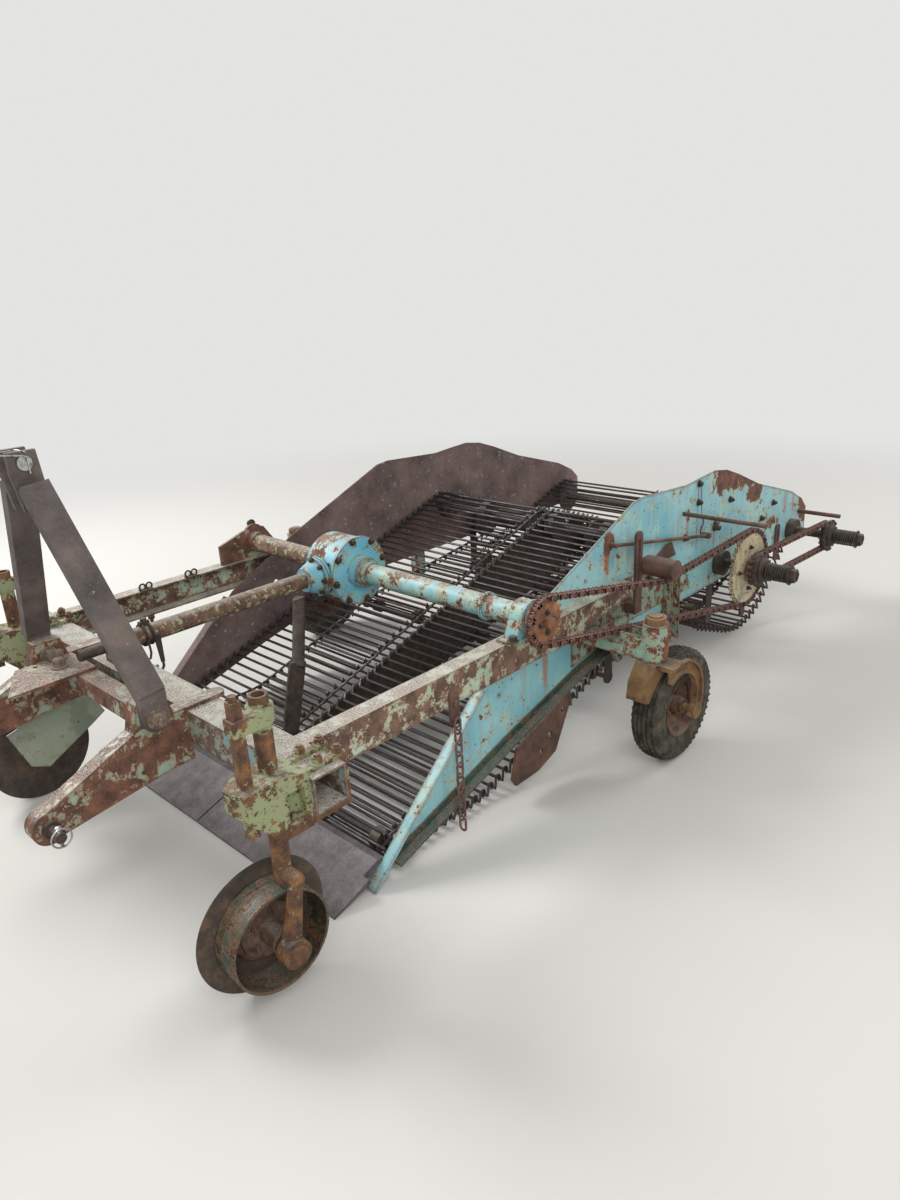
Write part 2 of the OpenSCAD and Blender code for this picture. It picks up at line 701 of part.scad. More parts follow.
// Rods of a web, hooked to each other at both ends by links that change sides from rod to rod
module web(ws) {
    st = stations(ws, rod_pitch);
    n = len(st);
    for (y = [web_y0, web_y0 + web_w - 2 * link_w], k = [0, 1])
        slab(y + k * link_w, y + (k + 1) * link_w) for (i = [k : 2 : n - 1]) let (p = st[i], q = st[(i + 1) % n])
            let (v = [q[0] - p[0], q[1] - p[1]], a = atan2(v[1], v[0]))
                translate([p[0], p[1]]) rotate(a) translate([-rod_d * 0.62, -link_h / 2])
                    square([norm(v) + rod_d * 1.24, link_h]);
    for (p = st)
        translate([p[0], web_y0 + web_w, p[1]]) rotate([90, 30, 0]) cylinder(d = rod_d, h = web_w, $fn = 6);
}
module front_web_left() { color("dimgray") placed() mirror([0, 1, 0]) web(front_wheels); }
module front_web_right() { color("dimgray") placed() web(front_wheels); }
module rear_web_left() { color("dimgray") placed() mirror([0, 1, 0]) web(rear_web_wheels); }
module rear_web_right() { color("dimgray") placed() web(rear_web_wheels); }

// Rollers under the webs, on cross rods between the side plates
roller_gap = rod_d / 2 + seat;
cross_rod_d = 20;
// Inner edges of the rollers of one side
roller_places = [40, 330, 600];
roller_w = 40;
module roller_row(w) {
    r = abs(w[2]) - roller_gap;
    across(w[0], w[1], -plate_y + seat, plate_y - seat, cross_rod_d);
    for (s = [-1, 1]) for (y = roller_places)
        across(w[0], w[1], min(s * y, s * (y + roller_w)), max(s * y, s * (y + roller_w)), 2 * r);
}
module hanger(w) {
    for (y = [plate_y - seat - hanger_t, -plate_y + seat]) slab(y, y + hanger_t) {
        translate([w[0], w[1]]) circle(r = hanger_w / 2 + 4);
        translate([w[0] - hanger_w / 2, w[1]]) square([hanger_w, hanger_top - w[1]]);
    }
}
hanger_t = 8;
hanger_w = 44;
hanger_top = 420;
module web_rollers() {
    color("dimgray") placed() {
        hanger(front_wheels[4]);
        hanger(rear_web_wheels[1]);
        roller_row(front_wheels[1]);
        roller_row(front_wheels[2]);
        roller_row(front_wheels[4]);
        roller_row(rear_web_wheels[1]);
    }
}
// Centre plates between the left and right webs, hung on the rollers' rods and the web shafts.
// Each carrier is [x, z, bore].
front_carriers = [
    [front_wheels[1][0], front_wheels[1][1], cross_rod_d], [front_wheels[2][0], front_wheels[2][1], cross_rod_d],
    [front_wheels[4][0], front_wheels[4][1], cross_rod_d], [front_shaft_x, front_shaft_z, shaft_d]
];
rear_carriers = [
    [rear_web_wheels[1][0], rear_web_wheels[1][1], cross_rod_d], [rear_shaft_x, rear_shaft_z, shaft_d]
];
centre_t = 10;
module centre_plate(carriers) {
    difference() {
        union() {
            slab(-centre_t / 2, centre_t / 2) children();
            for (c = carriers) across(c[0], c[1], -centre_t / 2, centre_t / 2, c[2] + 44);
        }
        for (c = carriers) across(c[0], c[1], -centre_t / 2 - cut, centre_t / 2 + cut, c[2] + 2 * seat);
    }
}
// Outlines of the two plates and of the strut's foot: [x, z]
front_centre_line = [[326, 84], [1975, 625], [2290, 485], [2290, 425], [1450, 190], [720, 60], [326, 40]];
rear_centre_line = [[2240, 230], [3040, 455], [3040, 395], [2640, 110], [2240, 180]];
strut_line = [[400, 90], [470, 90], [556, 412], [488, 430]];
module centre_frame() {
    color("dimgray") placed() {
        centre_plate(front_carriers) polygon(front_centre_line);
        centre_plate(rear_carriers) polygon(rear_centre_line);
        // Strut from the front plate up to the gearbox's neck
        slab(-centre_t / 2, centre_t / 2) polygon(strut_line);
        difference() {
            bar([522, 0, 400], [648, input_y, cross_z - 40], 46);
            translate([0, input_y, cross_z]) rotate([0, 90, 0]) cylinder(d = neck_d + 2 * seat, h = cross_x);
        }
    }
}

// Shares: two blades side by side, cut back at the side plates. Section: [x, z]
share_line = [[40, 0], [262, 60], [262, 72], [236, 76], [40, 6]];
share_y0 = 3;
share_y1 = beam_y + 22;
module share() {
    color("dimgray") placed() for (s = [0, 1]) mirror([0, s, 0]) difference() {
        slab(share_y0, share_y1) polygon(share_line);
        block([176, plate_y - seat, -cut], [300, share_y1 + cut, 100]);
    }
}
// Plate that hangs outside the left rail: [x, z]
skid_line = [[830, 200], [1130, 300], [1130, 262], [1040, 96], [940, 62], [820, 60], [800, 90]];
skid_y = beam_y + rail_w;
skid_t = 10;
// Its holes: [x, z, diameter]
skid_holes = [[1085, 238, 26], [1010, 176, 22], [960, 130, 20]];
module skid_plate() {
    color("sienna") placed() difference() {
        slab(-skid_y - skid_t, -skid_y) polygon(skid_line);
        for (h = skid_holes) across(h[0], h[1], -skid_y - skid_t - cut, -skid_y + cut, h[2]);
    }
}
// Chain that hangs from a strap on the left beam: links turned by a quarter from one to the next
hang_x = 523;
hang_z = 424;
hang_links = 10;
hang_pitch = 38;
link_wide = 22;
link_thin = 8;
module hanging_chain() {
    y = -beam_y - beam_w - seat;
    color("dimgray") placed() {
        block([hang_x - 18, y - 10, hang_z + 6], [hang_x + 18, y, hang_z + 116]);
        across(hang_x, hang_z + 20, y - 22, y - 10, 12);
        for (i = [0 : hang_links - 1]) {
            flat = i % 2 == 0;
            translate([hang_x, y - 16, hang_z - i * hang_pitch])
                cube([flat ? link_wide : link_thin, flat ? link_thin : link_wide, hang_pitch + 6], center = true);
        }
    }
}

// Castor: bracket with pivot tube, one-armed fork, wheel
axle_z = tyre_d / 2;
tube_z0 = 430;
tube_z1 = 560;
tube_od = 90;
arm_z0 = tube_z0;
arm_z1 = tube_z0 + 43;
arm_half_w = 40;
// Plate on the side plate and tab outside the rail: [x, z]
bracket_line = [
    [1195, 352], [1560, 412], [2010, 412], [2030, 432], [1985, 500], [1860, 590], [1510, 590], [1510, 548],
    [1195, 498]
];
tab_line = [
    [castor_x - arm_half_w, arm_z1], [castor_x - arm_half_w, arm_z0], [1375, 372], [1425, 298], [1455, 298],
    [1482, 352], [1500, 400], [1500, arm_z1]
];
// Holes of the plate: [x, z, diameter]
bracket_holes = [[1633, 462, 26], [1920, 446, 24], [1985, 446, 24], [1560, 560, 14]];
tab_hole = [1440, 324, 18];
tab_y = beam_y + rail_w + 1;
post_x = 1815;
post_w = 64;
post_z0 = 245;
post_z1 = 560;
module castor_bracket() {
    difference() {
        union() {
            translate([castor_x, castor_y, tube_z0]) cylinder(d = tube_od, h = tube_z1 - tube_z0);
            block([castor_x - arm_half_w, beam_y + seat + 4, arm_z0], [castor_x + arm_half_w, castor_y, arm_z1]);
            // Upright ribs from the arm's box to the tube, outside the chain
            for (x = [castor_x - arm_half_w, castor_x + arm_half_w - 8])
                block([x, chain_y + 35, arm_z1], [x + 8, castor_y, arm_z1 + 42]);
            slab(beam_y + seat, beam_y + 8) polygon(bracket_line);
            slab(tab_y, tab_y + 8) polygon(tab_line);
            // Channel post
            block([post_x, beam_y + 8, post_z0], [post_x + post_w, beam_y + 8 + wall_t, post_z1]);
            for (x = [post_x, post_x + post_w - wall_t])
                block([x, beam_y + 8, post_z0], [x + wall_t, beam_y + 48, post_z1]);
        }
        translate([castor_x, castor_y, tube_z0 - cut]) cylinder(d = pivot_d + 2 * fit, h = tube_z1 - tube_z0 + 2 * cut);
        for (h = bracket_holes) across(h[0], h[1], beam_y, beam_y + 8 + cut, h[2]);
        across(tab_hole[0], tab_hole[1], tab_y - cut, tab_y + 8 + cut, tab_hole[2]);
    }
}
module castor_bracket_left() { color("indianred") placed() mirror([0, 1, 0]) castor_bracket(); }
module castor_bracket_right() { color("indianred") placed() castor_bracket(); }

crown_t = 16;
arm_gap = 26;
arm_t = 14;
arm_r = 135;
arm_half = 24;
rib_t = 9;
fork_y0 = castor_y + tyre_w / 2 + arm_gap;
// Quarter ring of the curved arm between two radii
module arm_ring(r0, r1) {
    intersection() {
        translate([castor_x + 14, axle_z + 70]) difference() {
            circle(r = r1);
            circle(r = r0);
        }
        polygon([[castor_x - 45, axle_z], [castor_x - 45, tube_z0 - seat], [castor_x + 400, tube_z0 - seat],
            [castor_x + 400, axle_z - 10], [castor_x + 60, axle_z - 10]]);
    }
}
// Nose of the crown, from the crown's underside: [x, z]
nose_line = [
    [38, 0], [16, -10], [-44, -52], [-92, -108], [-116, -100], [-106, -36], [-62, crown_t], [-40, crown_t]
];
module castor_fork() {
    crown_z0 = tube_z0 - seat - crown_t;
    // Pin with its collar, crown out over the tyre's shoulder
    translate([castor_x, castor_y, crown_z0]) cylinder(d = pivot_d, h = tube_z1 - tube_z0 + crown_t + 30);
    translate([castor_x, castor_y, tube_z1 + seat]) cylinder(d = tube_od - 20, h = 24);
    block([castor_x - 45, castor_y - 45, crown_z0], [castor_x + 40, fork_y0 + arm_t, tube_z0 - seat]);
    // Nose of the crown, down in front of the tyre
    slab(castor_y - 38, castor_y + 38) translate([castor_x, crown_z0]) polygon(nose_line);
    // Curved arm of U section, open outwards
    slab(fork_y0, fork_y0 + rib_t) arm_ring(arm_r - arm_half, arm_r + arm_half);
    slab(fork_y0, fork_y0 + arm_t + 6) arm_ring(arm_r - arm_half, arm_r - arm_half + rib_t);
    slab(fork_y0, fork_y0 + arm_t + 6) arm_ring(arm_r + arm_half - rib_t, arm_r + arm_half);
    // Axle with its bosses
    across(castor_x + trail, axle_z, fork_y0, fork_y0 + arm_t + 8, 62);
    across(castor_x + trail, axle_z, castor_y - tyre_w / 2 - 10, fork_y0, axle_d);
    across(castor_x + trail, axle_z, castor_y - tyre_w / 2 - 10, castor_y - tyre_w / 2 + 2, 44);
}
module castor_fork_left() { color("peru") placed() mirror([0, 1, 0]) castor_fork(); }
module castor_fork_right() { color("peru") placed() castor_fork(); }

hub_half = 48;
bead_r = rim_d / 2;
bead_depth = (tyre_d - rim_d) / 2;
// Half section of the tyre from the rim's well to the crown: [depth below the crown, half width over tyre_w]
tyre_section = [
    [bead_depth + 21, 0.21], [bead_depth + 7, 0.325], [bead_depth - 4, 0.385], [bead_depth - 14, 0.43],
    [60, 0.5], [28, 0.48], [10, 0.37], [0, 0.2]
];
// Half section of the rim: [radius, half width]
rim_section = [[bead_r + 6, 46], [bead_r + 6, 40], [bead_r - 6, 34], [bead_r - 20, 22]];
// Whole section from the list of one half, mirrored over the wheel's middle
function both_halves(half) = concat(half, [for (i = [len(half) - 1 : -1 : 0]) [half[i][0], -half[i][1]]]);
module castor_wheel() {
    tyre = both_halves([for (p = tyre_section) [tyre_d / 2 - p[0], p[1] * tyre_w]]);
    outer = [for (p = rim_section) [p[0], p[1]]];
    m = len(rim_section) - 1;
    inner = [for (i = [m : -1 : 0]) [rim_section[i][0] - 6, rim_section[i][1]]];
    bore_r = axle_d / 2 + fit;
    translate([castor_x + trail, castor_y, axle_z]) rotate([90, 0, 0]) {
        rotate_extrude() polygon(tyre);
        rotate_extrude() polygon(concat(outer, [for (i = [m : -1 : 0]) [outer[i][0], -outer[i][1]]],
            [for (i = [m : -1 : 0]) [inner[i][0], -inner[i][1]]], inner));
        rotate_extrude() polygon([
            [bore_r, -6], [60, -6], [78, 8], [bead_r - 22, 8], [bead_r - 22, 16], [74, 16], [56, 4], [bore_r, 4]
        ]);
        rotate_extrude() translate([bore_r, -hub_half]) square([20, 2 * hub_half]);
    }
}
module castor_wheel_left() { color("black") placed() mirror([0, 1, 0]) castor_wheel(); }
module castor_wheel_right() { color("black") placed() castor_wheel(); }

// Coulters: stem clamped before the front beam, cranked out to an axle, disc with a depth drum
stem_x = -170;
stem_z0 = 330;
stem_z1 = 830;
clamp_z0 = beam_top - front_beam_s - 30;
clamp_z1 = beam_top + 20;
disc_x = -210;
left_coulter_y = front_beam_len / 2 - left_coulter_in;
right_coulter_y = front_beam_len / 2 - right_coulter_in;
disc_in = 65;
eye_out = 142;
arm_out = 128;
hub_out = 100;
disc_z = disc_d / 2;
knuckle_z = 352;
knuckle_out = 52;
knuckle_d = 42;
module at_disc(cy) {
    translate([disc_x, cy - disc_in, disc_z]) rotate([0, 0, -disc_toe]) children();
}
function disc_point(cy, out) = [disc_x + out * sin(disc_toe), cy - disc_in + out * cos(disc_toe), disc_z];
clamp_out = 56;
adjuster_s = 26;
adjuster_x = -244;
band_z = 764;
band_h = 40;
// Clamp casting in front of the beam: a plan and a side outline in one, with a window in its outer face
module clamp_casting(cy) {
    difference() {
        intersection() {
            translate([0, cy, clamp_z0]) linear_extrude(clamp_z1 + 40 - clamp_z0) polygon([
                [-front_beam_s - seat, -52], [-front_beam_s - seat, clamp_out], [-270, clamp_out], [-286, 20],
                [-286, -14], [-235, -52]
            ]);
            slab(cy - 60, cy + 60) polygon([
                [-front_beam_s - seat, clamp_z0], [-front_beam_s - seat, clamp_z1], [-200, clamp_z1 + 14],
                [-286, clamp_z1 + 10], [-286, clamp_z1 - 44], [-208, clamp_z0 + 26], [-180, clamp_z0]
            ]);
        }
        block([-165, cy + 28, 505], [-115, cy + clamp_out + cut, 586]);
    }
}
module coulter_stem(cy) {
    clamp_casting(cy);
    // Rear clamp block and the straps over and under the beam
    block([seat, cy - 50, clamp_z0], [22, cy + 50, beam_top - 28]);
    block([-front_beam_s - 10, cy - 50, clamp_z0], [22, cy + 50, beam_top - front_beam_s - seat]);
    for (y = [cy - 44, cy + 24]) {
        block([-front_beam_s - 10, y, beam_top + seat], [22, y + 20, beam_top + 12]);
        block([seat, y, beam_top - 40], [22, y + 20, beam_top + 12]);
    }
    // Stem, open at the top
    difference() {
        translate([stem_x, cy, stem_z0]) cylinder(d = stem_d, h = stem_z1 - stem_z0);
        translate([stem_x, cy, stem_z1 - 60]) cylinder(d = stem_d - 14, h = 60 + cut);
    }
    // Square adjuster bar with its nut, held to the stem by a band
    block([adjuster_x - adjuster_s / 2, cy + 4, 500], [adjuster_x + adjuster_s / 2, cy + 4 + adjuster_s, 846]);
    translate([adjuster_x, cy + 4 + adjuster_s / 2, 846]) cylinder(d = 20, h = 14);
    difference() {
        union() {
            translate([stem_x, cy, band_z]) cylinder(d = stem_d + 18, h = band_h);
            block([adjuster_x - adjuster_s / 2 - 6, cy - 2, band_z], [stem_x, cy + 10 + adjuster_s, band_z + band_h]);
        }
        translate([stem_x, cy, band_z - cut]) cylinder(d = stem_d - 2, h = band_h + 2 * cut);
    }
    // Knuckle out over the drum, crank arm, thicker towards its eye, and the axle
    translate([stem_x, cy, knuckle_z]) rotate([-90, 0, 0]) cylinder(d = knuckle_d, h = knuckle_out);
    from = [stem_x, cy + knuckle_out, knuckle_z];
    v = disc_point(cy, arm_out) - from;
    translate(from) sphere(d = knuckle_d);
    translate(from) rotate([0, acos(v[2] / norm(v)), atan2(v[1], v[0])]) cylinder(d1 = 34, d2 = 54, h = norm(v));
    at_disc(cy) {
        translate([0, eye_out + 18, 0]) rotate([90, 0, 0]) cylinder(d = 74, h = 42);
        translate([0, eye_out + 24, 0]) rotate([90, 0, 0]) cylinder(d = 50, h = 48);
        translate([0, eye_out, 0]) rotate([90, 0, 0]) cylinder(d = axle_d, h = eye_out + 20);
    }
}
module coulter_stem_left() { color("peru") placed() mirror([0, 1, 0]) coulter_stem(left_coulter_y); }
module coulter_stem_right() { color("peru") placed() coulter_stem(right_coulter_y); }
drum_wall = 4;
drum_lip = 8;
drum_boss_d = [150, 190];
drum_boss_h = 26;
module coulter_disc(cy) {
    disc_r = disc_d / 2;
    drum_r = depth_drum_d / 2;
    at_disc(cy) rotate([90, 0, 0]) mirror([0, 0, 1]) difference() {
        union() {
            // Disc with its bevelled cutting edge, boss and hub
            cylinder(d1 = disc_d, d2 = disc_d - 24, h = disc_t);
            cylinder(d1 = drum_boss_d[1], d2 = drum_boss_d[0], h = disc_t + drum_boss_h);
            cylinder(d = 56, h = hub_out);
            // Drum, open outwards, with a rolled lip
            rotate_extrude() polygon([
                [drum_r - drum_wall, disc_t - 1], [drum_r, disc_t - 1], [drum_r, depth_drum_w],
                [drum_r - drum_lip, depth_drum_w], [drum_r - drum_lip, depth_drum_w - drum_wall],
                [drum_r - drum_wall, depth_drum_w - drum_wall]
            ]);
        }
        translate([0, 0, -eye_out]) cylinder(d = axle_d + 2 * fit, h = 2 * eye_out);
    }
}
module coulter_disc_left() { color("dimgray") placed() mirror([0, 1, 0]) coulter_disc(left_coulter_y); }
module coulter_disc_right() { color("dimgray") placed() coulter_disc(right_coulter_y); }

front_beam();
main_beam_left();
main_beam_right();
lower_arms();
lower_link_pins();
a_frame();
top_link_pin();
shield_plate();
input_tube();
input_shaft();
gearbox();
cross_tube_left();
cross_tube_right();
bearing_left();
bearing_right();
driving_sprocket();
main_chain();
driven_sprocket();
front_clutch();
rear_chain();
rear_clutch();
front_web_shaft();
rear_web_shaft();
chain_idler();
guard_rods();
side_plate_left();
side_plate_right();
side_rails();
centre_frame();
web_rollers();
front_web_left();
front_web_right();
rear_web_left();
rear_web_right();
share();
skid_plate();
hanging_chain();
castor_bracket_left();
castor_bracket_right();
coulter_stem_left();
coulter_stem_right();
castor_fork_left();
castor_fork_right();
castor_wheel_left();
castor_wheel_right();
coulter_disc_left();
coulter_disc_right();
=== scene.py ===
"""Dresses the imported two-row potato digger: its finishes, chains, webs, springs, tyres and fasteners."""

import logging
import math
from dataclasses import dataclass
from enum import Enum
from typing import Any, Optional, Sequence

import bmesh
import bpy
from mathutils import Matrix, Vector


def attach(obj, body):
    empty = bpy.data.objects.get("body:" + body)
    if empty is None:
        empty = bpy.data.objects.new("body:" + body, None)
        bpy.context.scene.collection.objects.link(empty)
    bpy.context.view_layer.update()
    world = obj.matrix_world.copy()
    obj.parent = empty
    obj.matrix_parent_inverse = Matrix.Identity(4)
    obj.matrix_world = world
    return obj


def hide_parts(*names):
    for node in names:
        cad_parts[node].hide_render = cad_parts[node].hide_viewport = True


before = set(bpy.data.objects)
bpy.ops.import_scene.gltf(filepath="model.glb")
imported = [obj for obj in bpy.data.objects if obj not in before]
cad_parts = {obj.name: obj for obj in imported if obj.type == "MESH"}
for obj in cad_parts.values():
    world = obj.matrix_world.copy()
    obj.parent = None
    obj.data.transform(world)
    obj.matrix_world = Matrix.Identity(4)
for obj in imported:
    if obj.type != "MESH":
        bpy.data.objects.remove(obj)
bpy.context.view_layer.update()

log = logging.getLogger("digger")
MM = 0.001
# The machine's origin lies this far behind the rear face of the front beam, in millimetres
BEAM_TO_ORIGIN = 1332.5
# Outer face of the left side plate, in millimetres
SIDE_FACE = -712.0
# Rust that water carries down over paint, and the pale tone of level faces: real dust, with painted top light
RUST_WASH, DUST_AND_TOP_LIGHT = "#A8714E", "#C9C3B8"

# Shafts that lie across the machine, as x and z, and the input shaft, as y and z
CROSS_SHAFT, FRONT_SHAFT, REAR_SHAFT = (876.0, 663.0), (2290.0, 455.0), (3040.0, 425.0)
INPUT_SHAFT = (120.0, 663.0)
LEFT, RIGHT, UP, FRONT, REAR = (0.0, -1.0, 0.0), (0.0, 1.0, 0.0), (0.0, 0.0, 1.0), (-1.0, 0.0, 0.0), (1.0, 0.0, 0.0)
# Euler angle that turns Z onto Y
Z_TO_Y = (math.pi / 2, 0.0, 0.0)

Triple = tuple[float, float, float]
Colour = tuple[float, float, float, float]
Socket = bpy.types.NodeSocket


def at(x: float, y: float, z: float) -> Vector:
    """Return a place given in millimetres behind the front beam as metres in the machine's frame."""
    return Vector(((x - BEAM_TO_ORIGIN) * MM, y * MM, z * MM))


def round_the_clock(count: int) -> list[float]:
    """Return evenly spaced angles in radians."""
    return [2 * math.pi * k / count for k in range(count)]


def linear(code: str) -> Colour:
    """Turn an sRGB hex colour into linear values.

    Args:
        code: six hex digits, with a leading hash.

    Returns:
        Red, green, blue and an alpha of one.
    """
    parts = [int(code[i:i + 2], 16) / 255 for i in (1, 3, 5)]
    curve = [p / 12.92 if p <= 0.04045 else ((p + 0.055) / 1.055) ** 2.4 for p in parts]
    return (curve[0], curve[1], curve[2], 1.0)


class Nodes:
    """Adds nodes to a tree. An argument typed Any is a socket or a plain value."""

    def __init__(self, tree: bpy.types.NodeTree) -> None:
        """Keep the tree that gets the nodes."""
        self.tree = tree

    def feed(self, node: bpy.types.Node, inputs: dict[Any, Any]) -> None:
        """Link or set a node's inputs.

        Args:
            node: the node.
            inputs: for each input's name or number, a value or the socket that feeds it.
        """
        for key, value in inputs.items():
            if isinstance(value, Socket):
                self.tree.links.new(value, node.inputs[key])
            else:
                node.inputs[key].default_value = value

    def node(self, kind: str, inputs: Optional[dict[Any, Any]] = None, **settings: Any) -> bpy.types.Node:
        """Add a node.

        Args:
            kind: the node's type name.
            inputs: its inputs, by name or number.
            settings: its attributes.

        Returns:
            The new node.
        """
        node = self.tree.nodes.new(kind)
        for key, value in settings.items():
            setattr(node, key, value)
        self.feed(node, inputs or {})
        return node

    def add(self, kind: str, inputs: Optional[dict[Any, Any]] = None, **settings: Any) -> Socket:
        """Add a node and return its first output."""
        return self.node(kind, inputs, **settings).outputs[0]

    def math(self, operation: str, a: Any, b: Any = 0.0, c: Any = 0.0) -> Socket:
        """Return the result of a sum."""
        return self.add("ShaderNodeMath", {0: a, 1: b, 2: c}, operation=operation)

    def plus(self, a: Any, b: Any) -> Socket:
        """Return a sum of two."""
        return self.math("ADD", a, b)

    def times(self, a: Any, b: Any) -> Socket:
        """Return a product of two."""
        return self.math("MULTIPLY", a, b)

    def vector(self, x: Any, y: Any, z: Any) -> Socket:
        """Return a vector of three values."""
        return self.add("ShaderNodeCombineXYZ", {0: x, 1: y, 2: z})

    def length(self, vector: Socket) -> Socket:
        """Return a vector's length."""
        return self.node("ShaderNodeVectorMath", {0: vector}, operation="LENGTH").outputs["Value"]

    def fit(self, value: Any, low: float = 0.0, high: float = 1.0, to_low: Any = 0.0, to_high: Any = 1.0,
            curve: str = "LINEAR") -> Socket:
        """Map the values from low to high onto those from to_low to to_high, and hold them at the ends."""
        return self.add("ShaderNodeMapRange", {0: value, 1: low, 2: high, 3: to_low, 4: to_high},
                        interpolation_type=curve)

    def blend(self, share: Any, a: Any, b: Any) -> Socket:
        """Return the mean of two numbers, with the share of the second."""
        return self.add("ShaderNodeMix", {0: share, 2: a, 3: b}, data_type="FLOAT")

    def mix(self, share: Any, a: Any, b: Any) -> Socket:
        """Return the mix of two colours, each a socket or a hex code, with the share of the second."""
        first, second = (linear(c) if isinstance(c, str) else c for c in (a, b))
        return self.node("ShaderNodeMix", {0: share, 6: first, 7: second}, data_type="RGBA").outputs[2]

    def place(self) -> Socket:
        """Return the object coordinates."""
        return self.node("ShaderNodeTexCoord").outputs["Object"]

    def noise(self, where: Socket, size: float, detail: float, roughness: float = 0.5) -> Socket:
        """Return a noise with features of about a size in millimetres."""
        return self.add("ShaderNodeTexNoise", {"Vector": where, "Scale": 1 / (size * MM), "Detail": detail,
                                               "Roughness": roughness})

    def stretched(self, where: Socket, x: float, y: float, z: float) -> Socket:
        """Return the place with each axis scaled, so that a pattern is drawn out along it."""
        return self.add("ShaderNodeMapping", {0: where, "Scale": (x, y, z)})

    def bump(self, strength: float, depth: float, height: Socket) -> Socket:
        """Return a normal bent by a height, with its depth in millimetres."""
        return self.add("ShaderNodeBump", {"Strength": strength, "Distance": depth * MM, "Height": height})

    def seen_rays(self) -> Socket:
        """Tell the rays that show a background from those that light the object.

        Returns:
            One for camera, glossy and transmission rays, and zero for the others.
        """
        rays = self.node("ShaderNodeLightPath").outputs
        shown = self.math("MAXIMUM", rays["Is Camera Ray"], rays["Is Glossy Ray"])
        return self.math("MAXIMUM", shown, rays["Is Transmission Ray"])


@dataclass(frozen=True)
class Spot:
    """A soft patch on a finish: where it lies, how far it reaches along X, Y and Z, and what it adds."""

    place: Triple
    reach: Triple
    weight: float

    @staticmethod
    def on_side(*rows: tuple[float, float, float, float, float]) -> tuple["Spot", ...]:
        """Return patches on the left side plate from rows of x, z, reach along x, reach along z and weight."""
        return tuple(Spot((x, SIDE_FACE, z), (wide, 60, high), weight) for x, z, wide, high, weight in rows)

    @staticmethod
    def at_each(sides: Sequence[float], x: float, z: float, reach: Triple, weight: float) -> tuple["Spot", ...]:
        """Return the same patch at several values of y."""
        return tuple(Spot((x, y, z), reach, weight) for y in sides)


@dataclass(frozen=True)
class Finish:
    """A surface finish, made as a procedural material.

    Attributes:
        name: the material's name.
        slot: the record's material slot that it belongs to; not used.
    """

    name: str
    slot: str

    def shade(self, n: Nodes, shader: bpy.types.Node) -> None:
        """Link the finish's pattern to the shader."""
        raise NotImplementedError

    def material(self) -> bpy.types.Material:
        """Build the material on the first call.

        Returns:
            The material.
        """
        made = bpy.data.materials.get(self.name)
        if made is None:
            made = bpy.data.materials.new(self.name)
            made.use_nodes = True
            self.shade(Nodes(made.node_tree), made.node_tree.nodes["Principled BSDF"])
        return made

    @staticmethod
    def patches(n: Nodes, where: Socket, spots: Sequence[Spot]) -> Any:
        """Add up the soft patches.

        Args:
            n: the material's nodes.
            where: the object coordinates.
            spots: the patches.

        Returns:
            A socket with the sum, or zero where there are no patches.
        """
        total: Any = 0.0
        for spot in spots:
            off = n.add("ShaderNodeVectorMath", {0: where, 1: at(*spot.place)}, operation="SUBTRACT")
            share = n.add("ShaderNodeVectorMath", {0: off, 1: tuple(1 / (r * MM) for r in spot.reach)},
                          operation="MULTIPLY")
            total = n.plus(total, n.fit(n.length(share), 0.35, 1.0, spot.weight, 0.0, "SMOOTHSTEP"))
        return total

    @staticmethod
    def dust_and_painted_top_light(n: Nodes, colour: Socket, amount: float, grain: Socket) -> Socket:
        """Pale the faces that look up: real dust, and painted top light, as if the sun lit them from above.

        Args:
            n: the material's nodes.
            colour: the colour so far.
            amount: share of the pale tone on a level face.
            grain: a noise that breaks the dust up.

        Returns:
            The new colour.
        """
        normal = n.node("ShaderNodeNewGeometry").outputs["Normal"]
        up = n.node("ShaderNodeSeparateXYZ", {0: normal}).outputs["Z"]
        share = n.times(n.fit(up, 0.55, 0.98, curve="SMOOTHSTEP"), n.fit(grain, 0.40, 0.58, 0.15, 1.0))
        return n.mix(n.times(share, amount), colour, DUST_AND_TOP_LIGHT)


